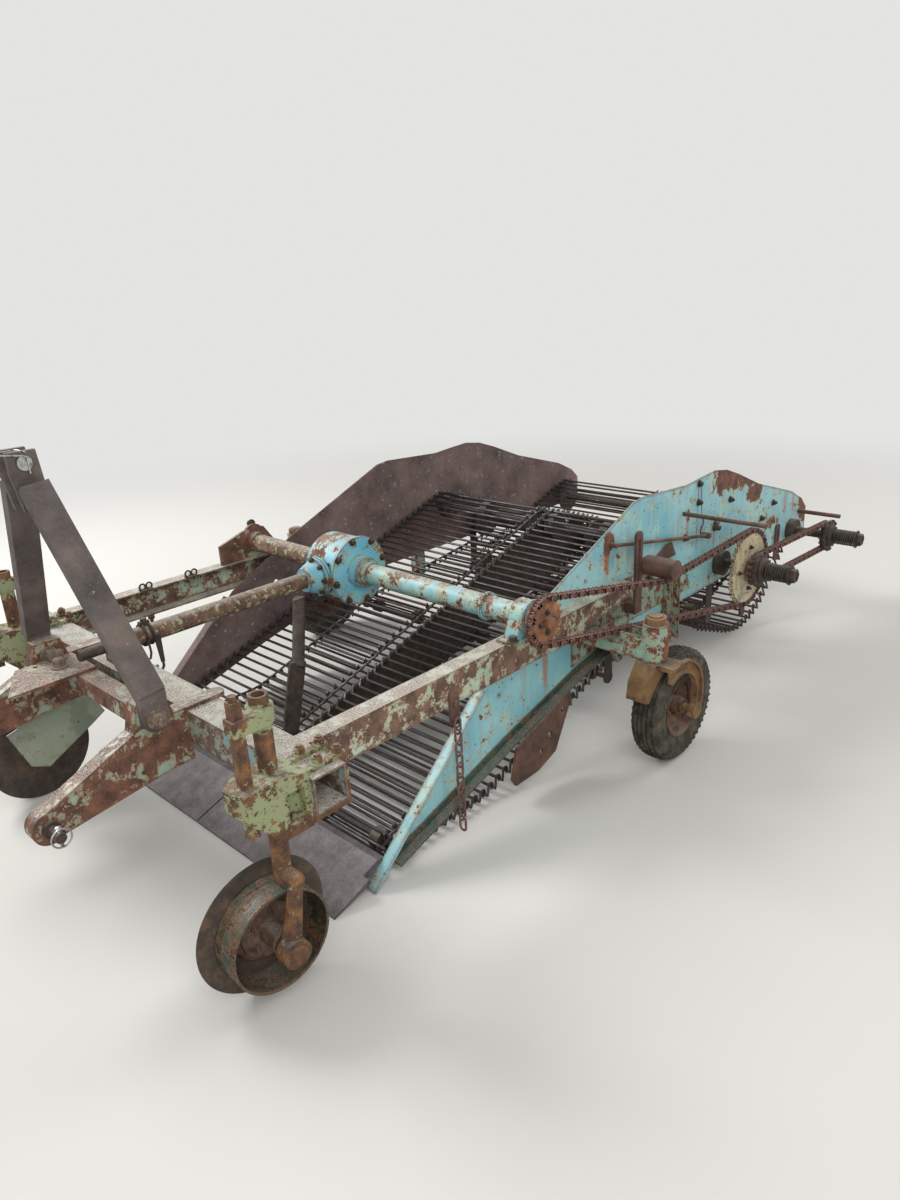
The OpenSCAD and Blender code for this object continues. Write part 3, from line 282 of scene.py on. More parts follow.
@dataclass(frozen=True)
class BareRust(Finish):
    """Mild steel that has lost its paint: brown scale with darker and more orange clouds, matt and pitted.

    Attributes:
        dark, mid, light: hex colours of old scale, plain rust and fresh rust.
        cloud_mm: size of the clouds of colour.
        fleck: hex colour of paint that is left in flecks.
        flecks: share of the surface that the flecks keep, from 0 to 1.
        roughness: mean roughness.
        top_dust_and_light: how much the faces that look up are paled, by dust and by painted top light.
        sheen_metal: metallic value, above zero on worn parts.
        stains: soft patches that darken the surface where the weight is above zero.
        kept: soft patches where more of the old paint is left in flecks.
    """

    dark: str = "#2F231D"
    mid: str = "#5E4436"
    light: str = "#8E6347"
    cloud_mm: float = 60.0
    fleck: str = "#7FA79F"
    flecks: float = 0.0
    roughness: float = 0.82
    top_dust_and_light: float = 0.25
    sheen_metal: float = 0.0
    stains: tuple[Spot, ...] = ()
    kept: tuple[Spot, ...] = ()

    def shade(self, n: Nodes, shader: bpy.types.Node) -> None:
        """Link clouds of rust, paint flecks, pale dust with painted top light on top faces, and a pitted bump.

        Args:
            n: the material's nodes.
            shader: its shader.
        """
        where = n.place()
        cloud = n.noise(where, self.cloud_mm, 8.0, 0.66)
        # Grit of about 3 mm, coarse enough to show
        grit = n.noise(where, 3.0, 3.0)
        tone = n.math("SUBTRACT", n.blend(0.3, cloud, grit), self.patches(n, where, self.stains))
        ramp = n.node("ShaderNodeValToRGB", {0: tone})
        steps = ramp.color_ramp.elements
        steps[0].position, steps[0].color = 0.36, linear(self.dark)
        steps[1].position, steps[1].color = 0.66, linear(self.light)
        steps.new(0.5).color = linear(self.mid)
        colour = ramp.outputs[0]
        if self.flecks > 0:
            left = n.plus(n.noise(where, 22.0, 7.0, 0.7), self.patches(n, where, self.kept))
            limit = 0.66 - 0.22 * self.flecks
            colour = n.mix(n.fit(left, limit, limit + 0.03, 0.0, 0.85), colour, self.fleck)
        # Faces that look up are paled by dust and by painted top light
        n.feed(shader, {
            "Base Color": self.dust_and_painted_top_light(n, colour, self.top_dust_and_light, grit),
            "Roughness": n.fit(grit, 0.3, 0.7, self.roughness - 0.1, self.roughness + 0.1),
            "Metallic": self.sheen_metal,
            "Normal": n.bump(0.5, 1.2, n.math("MULTIPLY_ADD", grit, 0.4, cloud))})


@dataclass(frozen=True)
class FlakedPaint(Finish):
    """Brushed-on machine enamel over mild steel, chalky from the sun, flaked along its edges down to rust.

    Attributes:
        paint, faded, second: hex colours of sound paint, chalked paint and the coat below.
        second_share: how much of the coat below shows, from 0 to 1.
        rust_dark, rust_light: hex colours of the bare steel.
        cover: share of the surface that keeps its paint, from 0 to 1.
        flake_mm: size of the flaked patches.
        edge_mm: how far the wear reaches from an edge.
        speckle: how many small pits show, from 0 to 1.
        streaks: strength of the rust runs down upright faces.
        top_dust_and_light: how much the faces that look up are paled, by dust and by painted top light.
        bare: soft patches that strip the paint (weight above zero) or keep it (below zero).
        stains: soft patches of rust wash that tint the paint and leave it on.
    """

    paint: str = "#6FB6C4"
    faded: str = "#9CD0D4"
    second: str = "#8FBDAA"
    second_share: float = 0.25
    rust_dark: str = "#43302A"
    rust_light: str = "#855B48"
    cover: float = 0.75
    flake_mm: float = 70.0
    edge_mm: float = 10.0
    speckle: float = 0.5
    streaks: float = 0.35
    top_dust_and_light: float = 0.3
    bare: tuple[Spot, ...] = ()
    stains: tuple[Spot, ...] = ()

    def wear(self, n: Nodes, where: Socket) -> Socket:
        """Add up the wear of each place.

        Args:
            n: the material's nodes.
            where: the object coordinates.

        Returns:
            The wear: above its mean the paint is gone.
        """
        value = n.blend(0.38, n.noise(where, self.flake_mm, 9.0, 0.6), n.noise(where, 0.2 * self.flake_mm, 6.0, 0.7))
        rounded = n.add("ShaderNodeBevel", {"Radius": self.edge_mm * MM}, samples=4)
        plain = n.node("ShaderNodeNewGeometry").outputs["Normal"]
        same = n.node("ShaderNodeVectorMath", {0: rounded, 1: plain}, operation="DOT_PRODUCT").outputs["Value"]
        return n.plus(n.plus(value, n.fit(same, 0.995, 0.72, 0.0, 0.2)), self.patches(n, where, self.bare))

    def pits(self, n: Nodes, where: Socket) -> Socket:
        """Set pits of 2 to 5 mm where a chip has lifted.

        Args:
            n: the material's nodes.
            where: the object coordinates.

        Returns:
            One in the pits, and zero outside them.
        """
        cells = n.node("ShaderNodeTexVoronoi", {"Vector": where, "Scale": 1 / (16.0 * MM)}).outputs
        size = n.node("ShaderNodeSeparateXYZ", {0: cells["Color"]}).outputs["X"]
        return n.math("LESS_THAN", cells["Distance"], n.fit(size, 1 - 0.5 * self.speckle, 1.0, 0.0, 0.24))

    def shade(self, n: Nodes, shader: bpy.types.Node) -> None:
        """Link sound and chalked paint, the coat below, flakes, pits, runs of rust, the paint's edge, and pale dust
        with painted top light on top faces.

        Args:
            n: the material's nodes.
            shader: its shader.
        """
        where = n.place()
        worn = self.wear(n, where)
        # The mean of the summed noise is 0.5, and it spreads by about 0.1 to each side
        limit = 0.40 + 0.24 * self.cover
        halo = n.fit(worn, limit - 0.07, limit, 0.0, 0.55)
        deep = n.fit(worn, limit - 0.045, limit - 0.035)
        bare = n.math("MAXIMUM", n.fit(worn, limit, limit + 0.012), self.pits(n, where))
        colour = n.mix(n.fit(n.noise(where, 180.0, 5.0), 0.36, 0.62), self.paint, self.faded)
        torn = 0.62 - 0.24 * self.second_share
        coat = n.fit(n.noise(where, 95.0, 7.0), torn, torn + 0.06, 0.0, 0.8)
        colour = n.mix(n.math("MAXIMUM", coat, deep), colour, self.second)
        runs = n.fit(n.noise(n.stretched(where, 1.0, 1.0, 0.12), 24.0, 3.0), 0.56, 0.74, 0.0, self.streaks)
        wash = n.add("ShaderNodeMath", {0: n.math("MAXIMUM", runs, halo), 1: self.patches(n, where, self.stains)},
                     operation="ADD", use_clamp=True)
        colour = n.mix(wash, colour, RUST_WASH)
        grit = n.noise(where, 4.0, 4.0)
        rust = n.fit(n.blend(0.4, n.noise(where, 45.0, 5.0), grit), 0.38, 0.62)
        colour = n.mix(bare, colour, n.mix(rust, self.rust_dark, self.rust_light))
        film = n.math("MULTIPLY_ADD", grit, 0.35, n.math("SUBTRACT", 1.0, bare))
        # Faces that look up are paled by dust and by painted top light
        n.feed(shader, {"Base Color": self.dust_and_painted_top_light(n, colour, self.top_dust_and_light, grit),
                        "Roughness": n.fit(bare, 0.0, 1.0, 0.48, 0.88),
                        "Normal": n.bump(0.6, 0.7, film)})


@dataclass(frozen=True)
class WornRodSteel(Finish):
    """Spring-steel rods rubbed by stones and soil: dark, slightly polished metal with brown rust in the lees.

    Attributes:
        steel, rust: hex colours of the rubbed metal and of the rust.
        roughness: roughness of the rubbed metal.
    """

    steel: str = "#4C4A4B"
    rust: str = "#3F2E26"
    roughness: float = 0.42

    def shade(self, n: Nodes, shader: bpy.types.Node) -> None:
        """Link rubbed metal broken by rust, in scuffs of about 25 mm that run along the rods.

        Args:
            n: the material's nodes.
            shader: its shader.
        """
        where = n.place()
        scuff = n.noise(n.stretched(where, 1.0, 0.25, 1.0), 25.0, 6.0, 0.65)
        share = n.fit(n.blend(0.45, scuff, n.noise(where, 400.0, 3.0)), 0.42, 0.57)
        n.feed(shader, {"Base Color": n.mix(share, self.steel, self.rust),
                        "Metallic": n.fit(share, 0.0, 1.0, 0.85, 0.0),
                        "Roughness": n.fit(share, 0.0, 1.0, self.roughness, 0.85),
                        "Normal": n.bump(0.35, 0.6, scuff)})


@dataclass(frozen=True)
class BrightSteel(Finish):
    """Turned or zinc-plated steel that still shines, dulled by handling.

    Attributes:
        tone, dulled: hex colours of the metal and of its smears.
        roughness: roughness outside the smears.
    """

    tone: str = "#B9BABA"
    dulled: str = "#6E6A66"
    roughness: float = 0.34

    def shade(self, n: Nodes, shader: bpy.types.Node) -> None:
        """Link a metal whose gloss is broken by smears of about 12 mm.

        Args:
            n: the material's nodes.
            shader: its shader.
        """
        smear = n.noise(n.place(), 12.0, 5.0)
        n.feed(shader, {"Base Color": n.mix(n.fit(smear, 0.45, 0.7), self.tone, self.dulled),
                        "Roughness": n.fit(smear, 0.35, 0.65, self.roughness - 0.08, self.roughness + 0.25),
                        "Metallic": 1.0})


@dataclass(frozen=True)
class DustyRubber(Finish):
    """Vulcanised black rubber of an old small tyre, greyed by dust, with brown soil in its tread.

    Attributes:
        rubber, dust: hex colours.
        dust_share: how much of the surface the dust takes, from 0 to 1.
    """

    rubber: str = "#23221F"
    dust: str = "#6B6353"
    dust_share: float = 0.45

    def shade(self, n: Nodes, shader: bpy.types.Node) -> None:
        """Link dust clouds over rubber with a fine moulded grain.

        Args:
            n: the material's nodes.
            shader: its shader.
        """
        where = n.place()
        share = n.fit(n.noise(where, 45.0, 8.0, 0.65), 0.42, 0.66, 0.1, self.dust_share + 0.3)
        n.feed(shader, {"Base Color": n.mix(share, self.rubber, self.dust), "Roughness": 0.9,
                        "Normal": n.bump(0.3, 0.5, n.noise(where, 2.5, 2.0))})


@dataclass(frozen=True)
class ChalkyFloor(Finish):
    """The studio's plain pale floor: matt near the machine, and an even pale backdrop far from it.

    Attributes:
        tone: hex colour of the floor.
        backdrop: hex colour that the camera and glossy surfaces see far away.
        near_m, far_m: distances between which the floor turns into the backdrop.
    """

    tone: str = "#D6D4CF"
    backdrop: str = "#E4E4E2"
    near_m: float = 2.9
    far_m: float = 7.0

    def shade(self, n: Nodes, shader: bpy.types.Node) -> None:
        """Set a plain matt tone, and mix in the backdrop by distance for camera, gloss and glass.

        Args:
            n: the material's nodes.
            shader: its shader.
        """
        n.feed(shader, {"Base Color": linear(self.tone), "Roughness": 0.95, "Specular IOR Level": 0.1})
        share = n.times(n.fit(n.length(n.place()), self.near_m, self.far_m, curve="SMOOTHSTEP"), n.seen_rays())
        plain = n.add("ShaderNodeEmission", {"Color": linear(self.backdrop), "Strength": 1.0})
        mixed = n.add("ShaderNodeMixShader", {0: share, 1: shader.outputs[0], 2: plain})
        n.feed(n.tree.nodes["Material Output"], {"Surface": mixed})


class Coat(Enum):
    """The finishes of this machine, one for each kind of surface."""

    SIDE_PAINT = FlakedPaint(
        "machine_enamel_side", "turquoise_paint", cover=0.80, flake_mm=48, edge_mm=20, speckle=0.85, streaks=0.4,
        paint="#79B7C4", faded="#98CAD0", second="#A6CDBF", second_share=0.35,
        bare=(*Spot.on_side((2330, 850, 150, 90, 0.22), (2590, 820, 210, 90, 0.24), (2620, 700, 110, 60, 0.2),
                            (2980, 740, 300, 90, 0.2), (3200, 580, 110, 230, 0.24), (1430, 755, 48, 60, 0.22),
                            (2000, 730, 30, 40, 0.14), (2800, 520, 120, 60, 0.12), (1750, 720, 280, 110, -0.08),
                            (2480, 790, 420, 60, 0.12)), Spot((1100, SIDE_FACE, 480), (260, 80, 190), -0.14)),
        stains=Spot.on_side((1047, 420, 22, 150, 0.75), (1420, 690, 22, 90, 0.8), (2004, 680, 16, 70, 0.55),
                            (2237, 580, 16, 70, 0.7), (2960, 600, 24, 130, 0.5), (3060, 590, 26, 130, 0.5)))
    # Its top faces are paled almost fully: dust, and painted top light
    BEAM_PAINT = FlakedPaint(
        "machine_enamel_beam", "turquoise_paint", cover=0.36, flake_mm=66, edge_mm=14, paint="#8FBFB3",
        faded="#AFCDBD", second="#B3C7AE", second_share=0.5, top_dust_and_light=0.95, rust_dark="#4B3A33", rust_light="#8A6A58")
    GEAR_PAINT = FlakedPaint(
        "machine_enamel_gearbox", "turquoise_paint", cover=0.66, flake_mm=42, edge_mm=14, paint="#63AFC8",
        faded="#83C0D0", second_share=0.15, speckle=0.3, top_dust_and_light=0.35, streaks=0.15,
        bare=(Spot((876, 150, 700), (200, 85, 200), 0.10), Spot((876, 30, 663), (118, 30, 118), -0.16),
              Spot((690, 120, 663), (60, 90, 90), -0.02)))
    TUBE_PAINT = FlakedPaint(
        "machine_enamel_tube", "turquoise_paint", cover=0.55, flake_mm=60, edge_mm=8, paint="#6DB2C2",
        faded="#9AC6C8", second="#9DBCA6", second_share=0.3, top_dust_and_light=0.5)
    ARM_PAINT = FlakedPaint(
        "machine_enamel_arm", "turquoise_paint", cover=0.28, flake_mm=70, edge_mm=14, paint="#7FA79A",
        faded="#98B5A4", second="#8CA38F", second_share=0.6, top_dust_and_light=0.6)
    GREEN_GREY = FlakedPaint(
        "green_grey_enamel", "green_grey_paint", cover=0.46, flake_mm=34, edge_mm=14, paint="#7C9B88",
        faded="#93B3A0", second="#8FC0AD", second_share=0.3, speckle=0.8, rust_dark="#3A2F2A", rust_light="#94573D",
        bare=Spot.at_each((-1050, 1050), 1320, 495, (60, 60, 90), 0.2))
    SHIELD_GREY = FlakedPaint(
        "shield_enamel", "green_grey_paint", cover=0.94, flake_mm=16, edge_mm=5, paint="#7E8A7B", faded="#8F9885",
        second="#6F7A6C", second_share=0.4, speckle=0.9, streaks=0.1)
    DARK_GREEN = FlakedPaint(
        "dark_green_enamel", "dark_green_paint", cover=0.72, flake_mm=26, edge_mm=6, paint="#1F3F38",
        faded="#33584D", second="#2A4A40", rust_dark="#2E2520", rust_light="#5E4638", streaks=0.1)
    CREAM_IRON = FlakedPaint(
        "cream_enamel_iron", "cream_worn_iron", cover=0.8, flake_mm=22, edge_mm=10, paint="#B5A988",
        faded="#C9BF9E", second="#8E8A72", rust_dark="#3A2A22", rust_light="#6B4A3A", speckle=0.7, streaks=0.1)
    # Its top faces are paled fully: dust, and painted top light
    FRONT_BEAM = FlakedPaint(
        "weathered_front_beam", "grey_worn_steel", cover=0.36, flake_mm=46, edge_mm=14, paint="#6FA9C6",
        faded="#86B2B4", second="#8FA596", second_share=0.5, top_dust_and_light=1.0, rust_dark="#4A3F3A", rust_light="#80695B")
    FRAME_RUST = BareRust("brown_frame_rust", "rusty_steel", mid="#5B4238", light="#7A5847", cloud_mm=90)
    LEG_STEEL = BareRust("weathered_leg_steel", "rusty_steel", dark="#3D3634", mid="#5C5350", light="#7A6A62",
                         cloud_mm=130, roughness=0.7, top_dust_and_light=0.2, flecks=0.02)
    SHADED_RUST = BareRust("shaded_plate_rust", "rusty_steel", dark="#4A3C3A", mid="#6C5854", light="#86706A",
                           cloud_mm=150, flecks=0.2, fleck="#7FB0B4")
    TUBE_RUST = BareRust("mottled_tube_rust", "rusty_steel", mid="#6B5040", light="#8E7158", flecks=0.5,
                         fleck="#A9B08E", cloud_mm=40, top_dust_and_light=0.5)
    COULTER_RUST = BareRust(
        "coulter_rust", "rusty_steel", dark="#33251D", mid="#624532", light="#93683C", flecks=0.22,
        fleck="#96A07A", cloud_mm=38, kept=(*Spot.at_each((-850, 660), -150, 572, (250, 250, 105), 0.19),
                                            *Spot.at_each((-850, 660), -170, 775, (130, 130, 52), 0.22)))
    DISC_STEEL = BareRust("disc_steel", "dark_steel", dark="#26221F", mid="#41362E", light="#65503F",
                          cloud_mm=50, flecks=0.12, fleck="#3F5B4C", roughness=0.7)
    DRUM_GREEN = FlakedPaint(
        "old_green_drum", "dark_steel", cover=0.62, flake_mm=30, edge_mm=5, paint="#23342D", faded="#33463A",
        second="#4A4A38", second_share=0.5, rust_dark="#2B211C", rust_light="#5C4432", streaks=0.15, speckle=0.9,
        top_dust_and_light=0.2)
    HUB_IRON = BareRust("hub_iron", "dark_steel", dark="#33251F", mid="#5A4438", light="#7D6250", cloud_mm=25,
                        roughness=0.75)
    DARK_STEEL = BareRust("dark_forged_steel", "dark_steel", dark="#231E1B", mid="#3F342D", light="#5C493D",
                          cloud_mm=35, roughness=0.72)
    SHARE_STEEL = BareRust("share_steel", "dark_steel", dark="#302A2C", mid="#554B50", light="#756A6C",
                           cloud_mm=42, roughness=0.55, sheen_metal=0.2, top_dust_and_light=0.12)
    CHAIN_STEEL = BareRust("chain_steel", "oily_chain_steel", dark="#3C2A25", mid="#6B4B42", light="#8C6658",
                           cloud_mm=18, roughness=0.8, top_dust_and_light=0.15)
    ORANGE_RUST = BareRust("fresh_orange_rust", "rusty_steel", dark="#4E3024", mid="#84563D", light="#A87A52",
                           cloud_mm=40)
    FORK_RUST = BareRust("fork_arm_rust", "rusty_steel", dark="#3F2E20", mid="#75583A", light="#927246", cloud_mm=55,
                         stains=Spot.at_each((-1000, 1000), 1285, 470, (110, 110, 75), 0.3))
    RIM_RUST = BareRust("rim_rust", "tyre_rubber", dark="#2E231D", mid="#5C4234", light="#7F5E48", cloud_mm=35)
    SPRING_STEEL = BareRust("spring_steel", "dark_steel", dark="#211D1B", mid="#37302C", light="#54463D",
                            cloud_mm=20, roughness=0.6)
    WORN_BOLT = BareRust("worn_bolt_steel", "rusty_steel", dark="#4A3C34", mid="#7A675A", light="#9A8775",
                         cloud_mm=15, roughness=0.65, top_dust_and_light=0.4)
    ROD_STEEL = WornRodSteel("worn_rod_steel", "rusty_steel")
    PIN_STEEL = BrightSteel("bright_pin_steel", "bright_steel")
    TYRE_RUBBER = DustyRubber("dusty_tyre_rubber", "tyre_rubber")


# The CAD nodes that get each finish
CAD_COATS: dict[Coat, str] = {
    Coat.FRONT_BEAM: "front_beam",
    Coat.BEAM_PAINT: "main_beam_left main_beam_right",
    Coat.ARM_PAINT: "lower_arms bearing_right",
    Coat.DARK_STEEL: "lower_link_pins input_shaft front_clutch rear_clutch front_web_shaft rear_web_shaft"
                     " centre_frame web_rollers",
    Coat.LEG_STEEL: "a_frame",
    Coat.PIN_STEEL: "top_link_pin",
    Coat.SHIELD_GREY: "shield_plate",
    Coat.TUBE_RUST: "input_tube cross_tube_right",
    Coat.GEAR_PAINT: "gearbox",
    Coat.TUBE_PAINT: "cross_tube_left bearing_left",
    Coat.ORANGE_RUST: "driving_sprocket",
    Coat.CHAIN_STEEL: "main_chain rear_chain hanging_chain",
    Coat.CREAM_IRON: "driven_sprocket",
    Coat.FRAME_RUST: "chain_idler guard_rods skid_plate",
    Coat.SIDE_PAINT: "side_plate_left",
    Coat.SHADED_RUST: "side_plate_right",
    Coat.DARK_GREEN: "side_rails",
    Coat.ROD_STEEL: "front_web_left front_web_right rear_web_left rear_web_right",
    Coat.SHARE_STEEL: "share",
    Coat.GREEN_GREY: "castor_bracket_left castor_bracket_right",
    Coat.COULTER_RUST: "coulter_stem_left coulter_stem_right",
    Coat.FORK_RUST: "castor_fork_left castor_fork_right",
    Coat.TYRE_RUBBER: "castor_wheel_left castor_wheel_right",
    Coat.DISC_STEEL: "coulter_disc_left coulter_disc_right",
}


def dress_cad_nodes() -> None:
    """Give every carried-over CAD node its finish."""
    for coat, names in CAD_COATS.items():
        for name in names.split():
            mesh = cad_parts[name].data
            mesh.materials.clear()
            mesh.materials.append(coat.value.material())
    log.info("%d finishes on the CAD nodes", len(CAD_COATS))


@dataclass
class Studio:
    """The camera, the lamps and the pale floor.

    Attributes:
        eye: the camera's place in metres.
        yaw, pitch, roll: its direction in degrees: turned from +X towards +Y, tipped down, and rolled.
        focal_px: focal length in pixels of the 900 by 1200 image.
        image_long_side: the image's height in pixels.
        sky_strength: strength of the world's light on the object.
        floor_radius, cove_radius: where the floor starts to curve up, and the radius of that curve, in metres.
    """

    eye: Triple = (-2.421, -2.3805, 1.6666)
    yaw: float = 44.68
    pitch: float = 20.27
    roll: float = 3.22
    focal_px: float = 854.8
    image_long_side: float = 1200.0
    sky_strength: float = 0.62
    floor_radius: float = 14.0
    cove_radius: float = 8.0

    def build(self) -> None:
        """Make the camera, the lamps, the world and the floor."""
        self.camera()
        self.lamps()
        self.world()
        self.floor()
        bpy.context.scene.view_settings.view_transform = "Standard"
        log.info("studio ready")

    def camera(self) -> None:
        """Place the camera where the photograph was taken."""
        data = bpy.data.cameras.new("photo_camera")
        data.sensor_width = 36.0
        data.lens = self.focal_px / self.image_long_side * data.sensor_width
        eye = link_object("photo_camera", data)
        yaw, pitch, roll = (math.radians(v) for v in (self.yaw, self.pitch, self.roll))
        forward = Vector((math.cos(yaw) * math.cos(pitch), math.sin(yaw) * math.cos(pitch), -math.sin(pitch)))
        level = forward.cross(Vector((0, 0, 1))).normalized()
        down = forward.cross(level)
        right = level * math.cos(roll) + down * math.sin(roll)
        up = -(down * math.cos(roll) - level * math.sin(roll))
        eye.matrix_world = Matrix.Translation(self.eye) @ Matrix((right, up, -forward)).transposed().to_4x4()
        bpy.context.scene.camera = eye

    def lamps(self) -> None:
        """Hang three soft lamps: high behind the left front corner, a fill by the camera and a rim light."""
        table = (
            # name, place, target, width, power
            ("high_back_lamp", (-2.5, 5.5, 5.5), (0.3, 0.0, 0.3), 4.0, 520.0),
            ("camera_side_lamp", (-3.5, -4.5, 3.8), (0.0, 0.0, 0.4), 4.5, 170.0),
            ("rear_lamp", (5.0, -3.0, 3.5), (0.6, 0.0, 0.4), 3.0, 110.0),
        )
        for name, place, target, width, power in table:
            data = bpy.data.lights.new(name, "AREA")
            data.shape = "DISK"
            data.size = width
            data.energy = power
            lamp = link_object(name, data)
            lamp.location = place
            lamp.rotation_euler = (Vector(target) - Vector(place)).to_track_quat("-Z", "Y").to_euler()

    def world(self) -> None:
        """Light the object from a pale sky, and show the same pale tone behind it."""
        world = bpy.data.worlds.new("studio_world")
        world.use_nodes = True
        n = Nodes(world.node_tree)
        shown = n.seen_rays()
        n.feed(n.tree.nodes["Background"], {"Color": n.mix(shown, "#F2F3F4", ChalkyFloor.backdrop),
                                            "Strength": n.fit(shown, 0.0, 1.0, self.sky_strength, 1.0)})
        bpy.context.scene.world = world

    def floor(self) -> None:
        """Lay a wide pale floor that curves up far behind the machine."""
        mesh = bmesh.new()
        curve = [(self.floor_radius + self.cove_radius * math.sin(math.radians(a)),
                  self.cove_radius * (1 - math.cos(math.radians(a)))) for a in range(6, 91, 6)]
        rings = [(self.floor_radius, 0.0), *curve, (self.floor_radius + self.cove_radius, 20.0)]
        sides = 64
        middle = mesh.verts.new((0.0, 0.0, 0.0))
        rows = [[mesh.verts.new((radius * math.cos(a), radius * math.sin(a), height))
                 for a in round_the_clock(sides)] for radius, height in rings]
        for k in range(sides):
            j = (k + 1) % sides
            mesh.faces.new((middle, rows[0][k], rows[0][j]))
            for low, high in zip(rows, rows[1:]):
                mesh.faces.new((low[k], high[k], high[j], low[j]))
        for face in mesh.faces:
            face.smooth = True
        floor = make_object("studio_floor", mesh, ChalkyFloor("studio_floor_paint", "floor"))


def link_object(name: str, data: bpy.types.ID) -> bpy.types.Object:
    """Link a new object to the scene.

    Args:
        name: the object's name.
        data: its mesh, lamp or camera.

    Returns:
        The object, at the origin.
    """
    made = bpy.data.objects.new(name, data)
    bpy.context.scene.collection.objects.link(made)
    return made


def make_object(name: str, mesh: bmesh.types.BMesh, finish: Finish) -> bpy.types.Object:
    """Turn a bmesh into a linked object with one finish.

    Args:
        name: the object's name.
        mesh: the mesh, which is freed.
        finish: its finish.

    Returns:
        The object, at the origin.
    """
    data = bpy.data.meshes.new(name)
    mesh.to_mesh(data)
    mesh.free()
    data.materials.append(finish.material())
    return link_object(name, data)


def hand_over(piece: bpy.types.Object, body: str, coat: Coat, *nodes: str) -> None:
    """Make a piece ride on its body, with smooth shading up to 35 degrees.

    Args:
        piece: the finished piece.
        body: the body it moves with.
        coat: its finish; not used.
        nodes: the CAD nodes that it stands for.
    """
    piece.data.shade_smooth()
    piece.data.set_sharp_from_angle(angle=math.radians(35))
    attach(piece, body)
    if nodes:
        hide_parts(*nodes)
    log.info("%s on %s, %d triangles", piece.name, body, sum(len(p.vertices) - 2 for p in piece.data.polygons))


def turn_to(along: Triple) -> Matrix:
    """Return the turn that lays Z along a direction."""
    return Vector(along).to_track_quat("Z", "Y").to_matrix()


def ring_path(centre: Triple, first: Triple, second: Triple, count: int) -> list[Vector]:
    """Set points round a ring.

    Args:
        centre: its centre in millimetres.
        first, second: the radii, as vectors, towards its start and a quarter turn on.
        count: number of points.

    Returns:
        The points in metres.
    """
    return [at(*(c + p * math.cos(a) + q * math.sin(a) for c, p, q in zip(centre, first, second)))
            for a in round_the_clock(count)]


@dataclass(frozen=True)
class Axis:
    """A line to turn or aim about.

    Attributes:
        start: a place in millimetres behind the front beam.
        along: its direction.
    """

    start: Triple
    along: Triple

    def point(self, radius: float, angle: float, along: float) -> Vector:
        """Return a place in metres from a radius, an angle and a length along the axis in millimetres."""
        flat = Vector((radius * MM * math.cos(angle), radius * MM * math.sin(angle), along * MM))
        return turn_to(self.along) @ flat + at(*self.start)


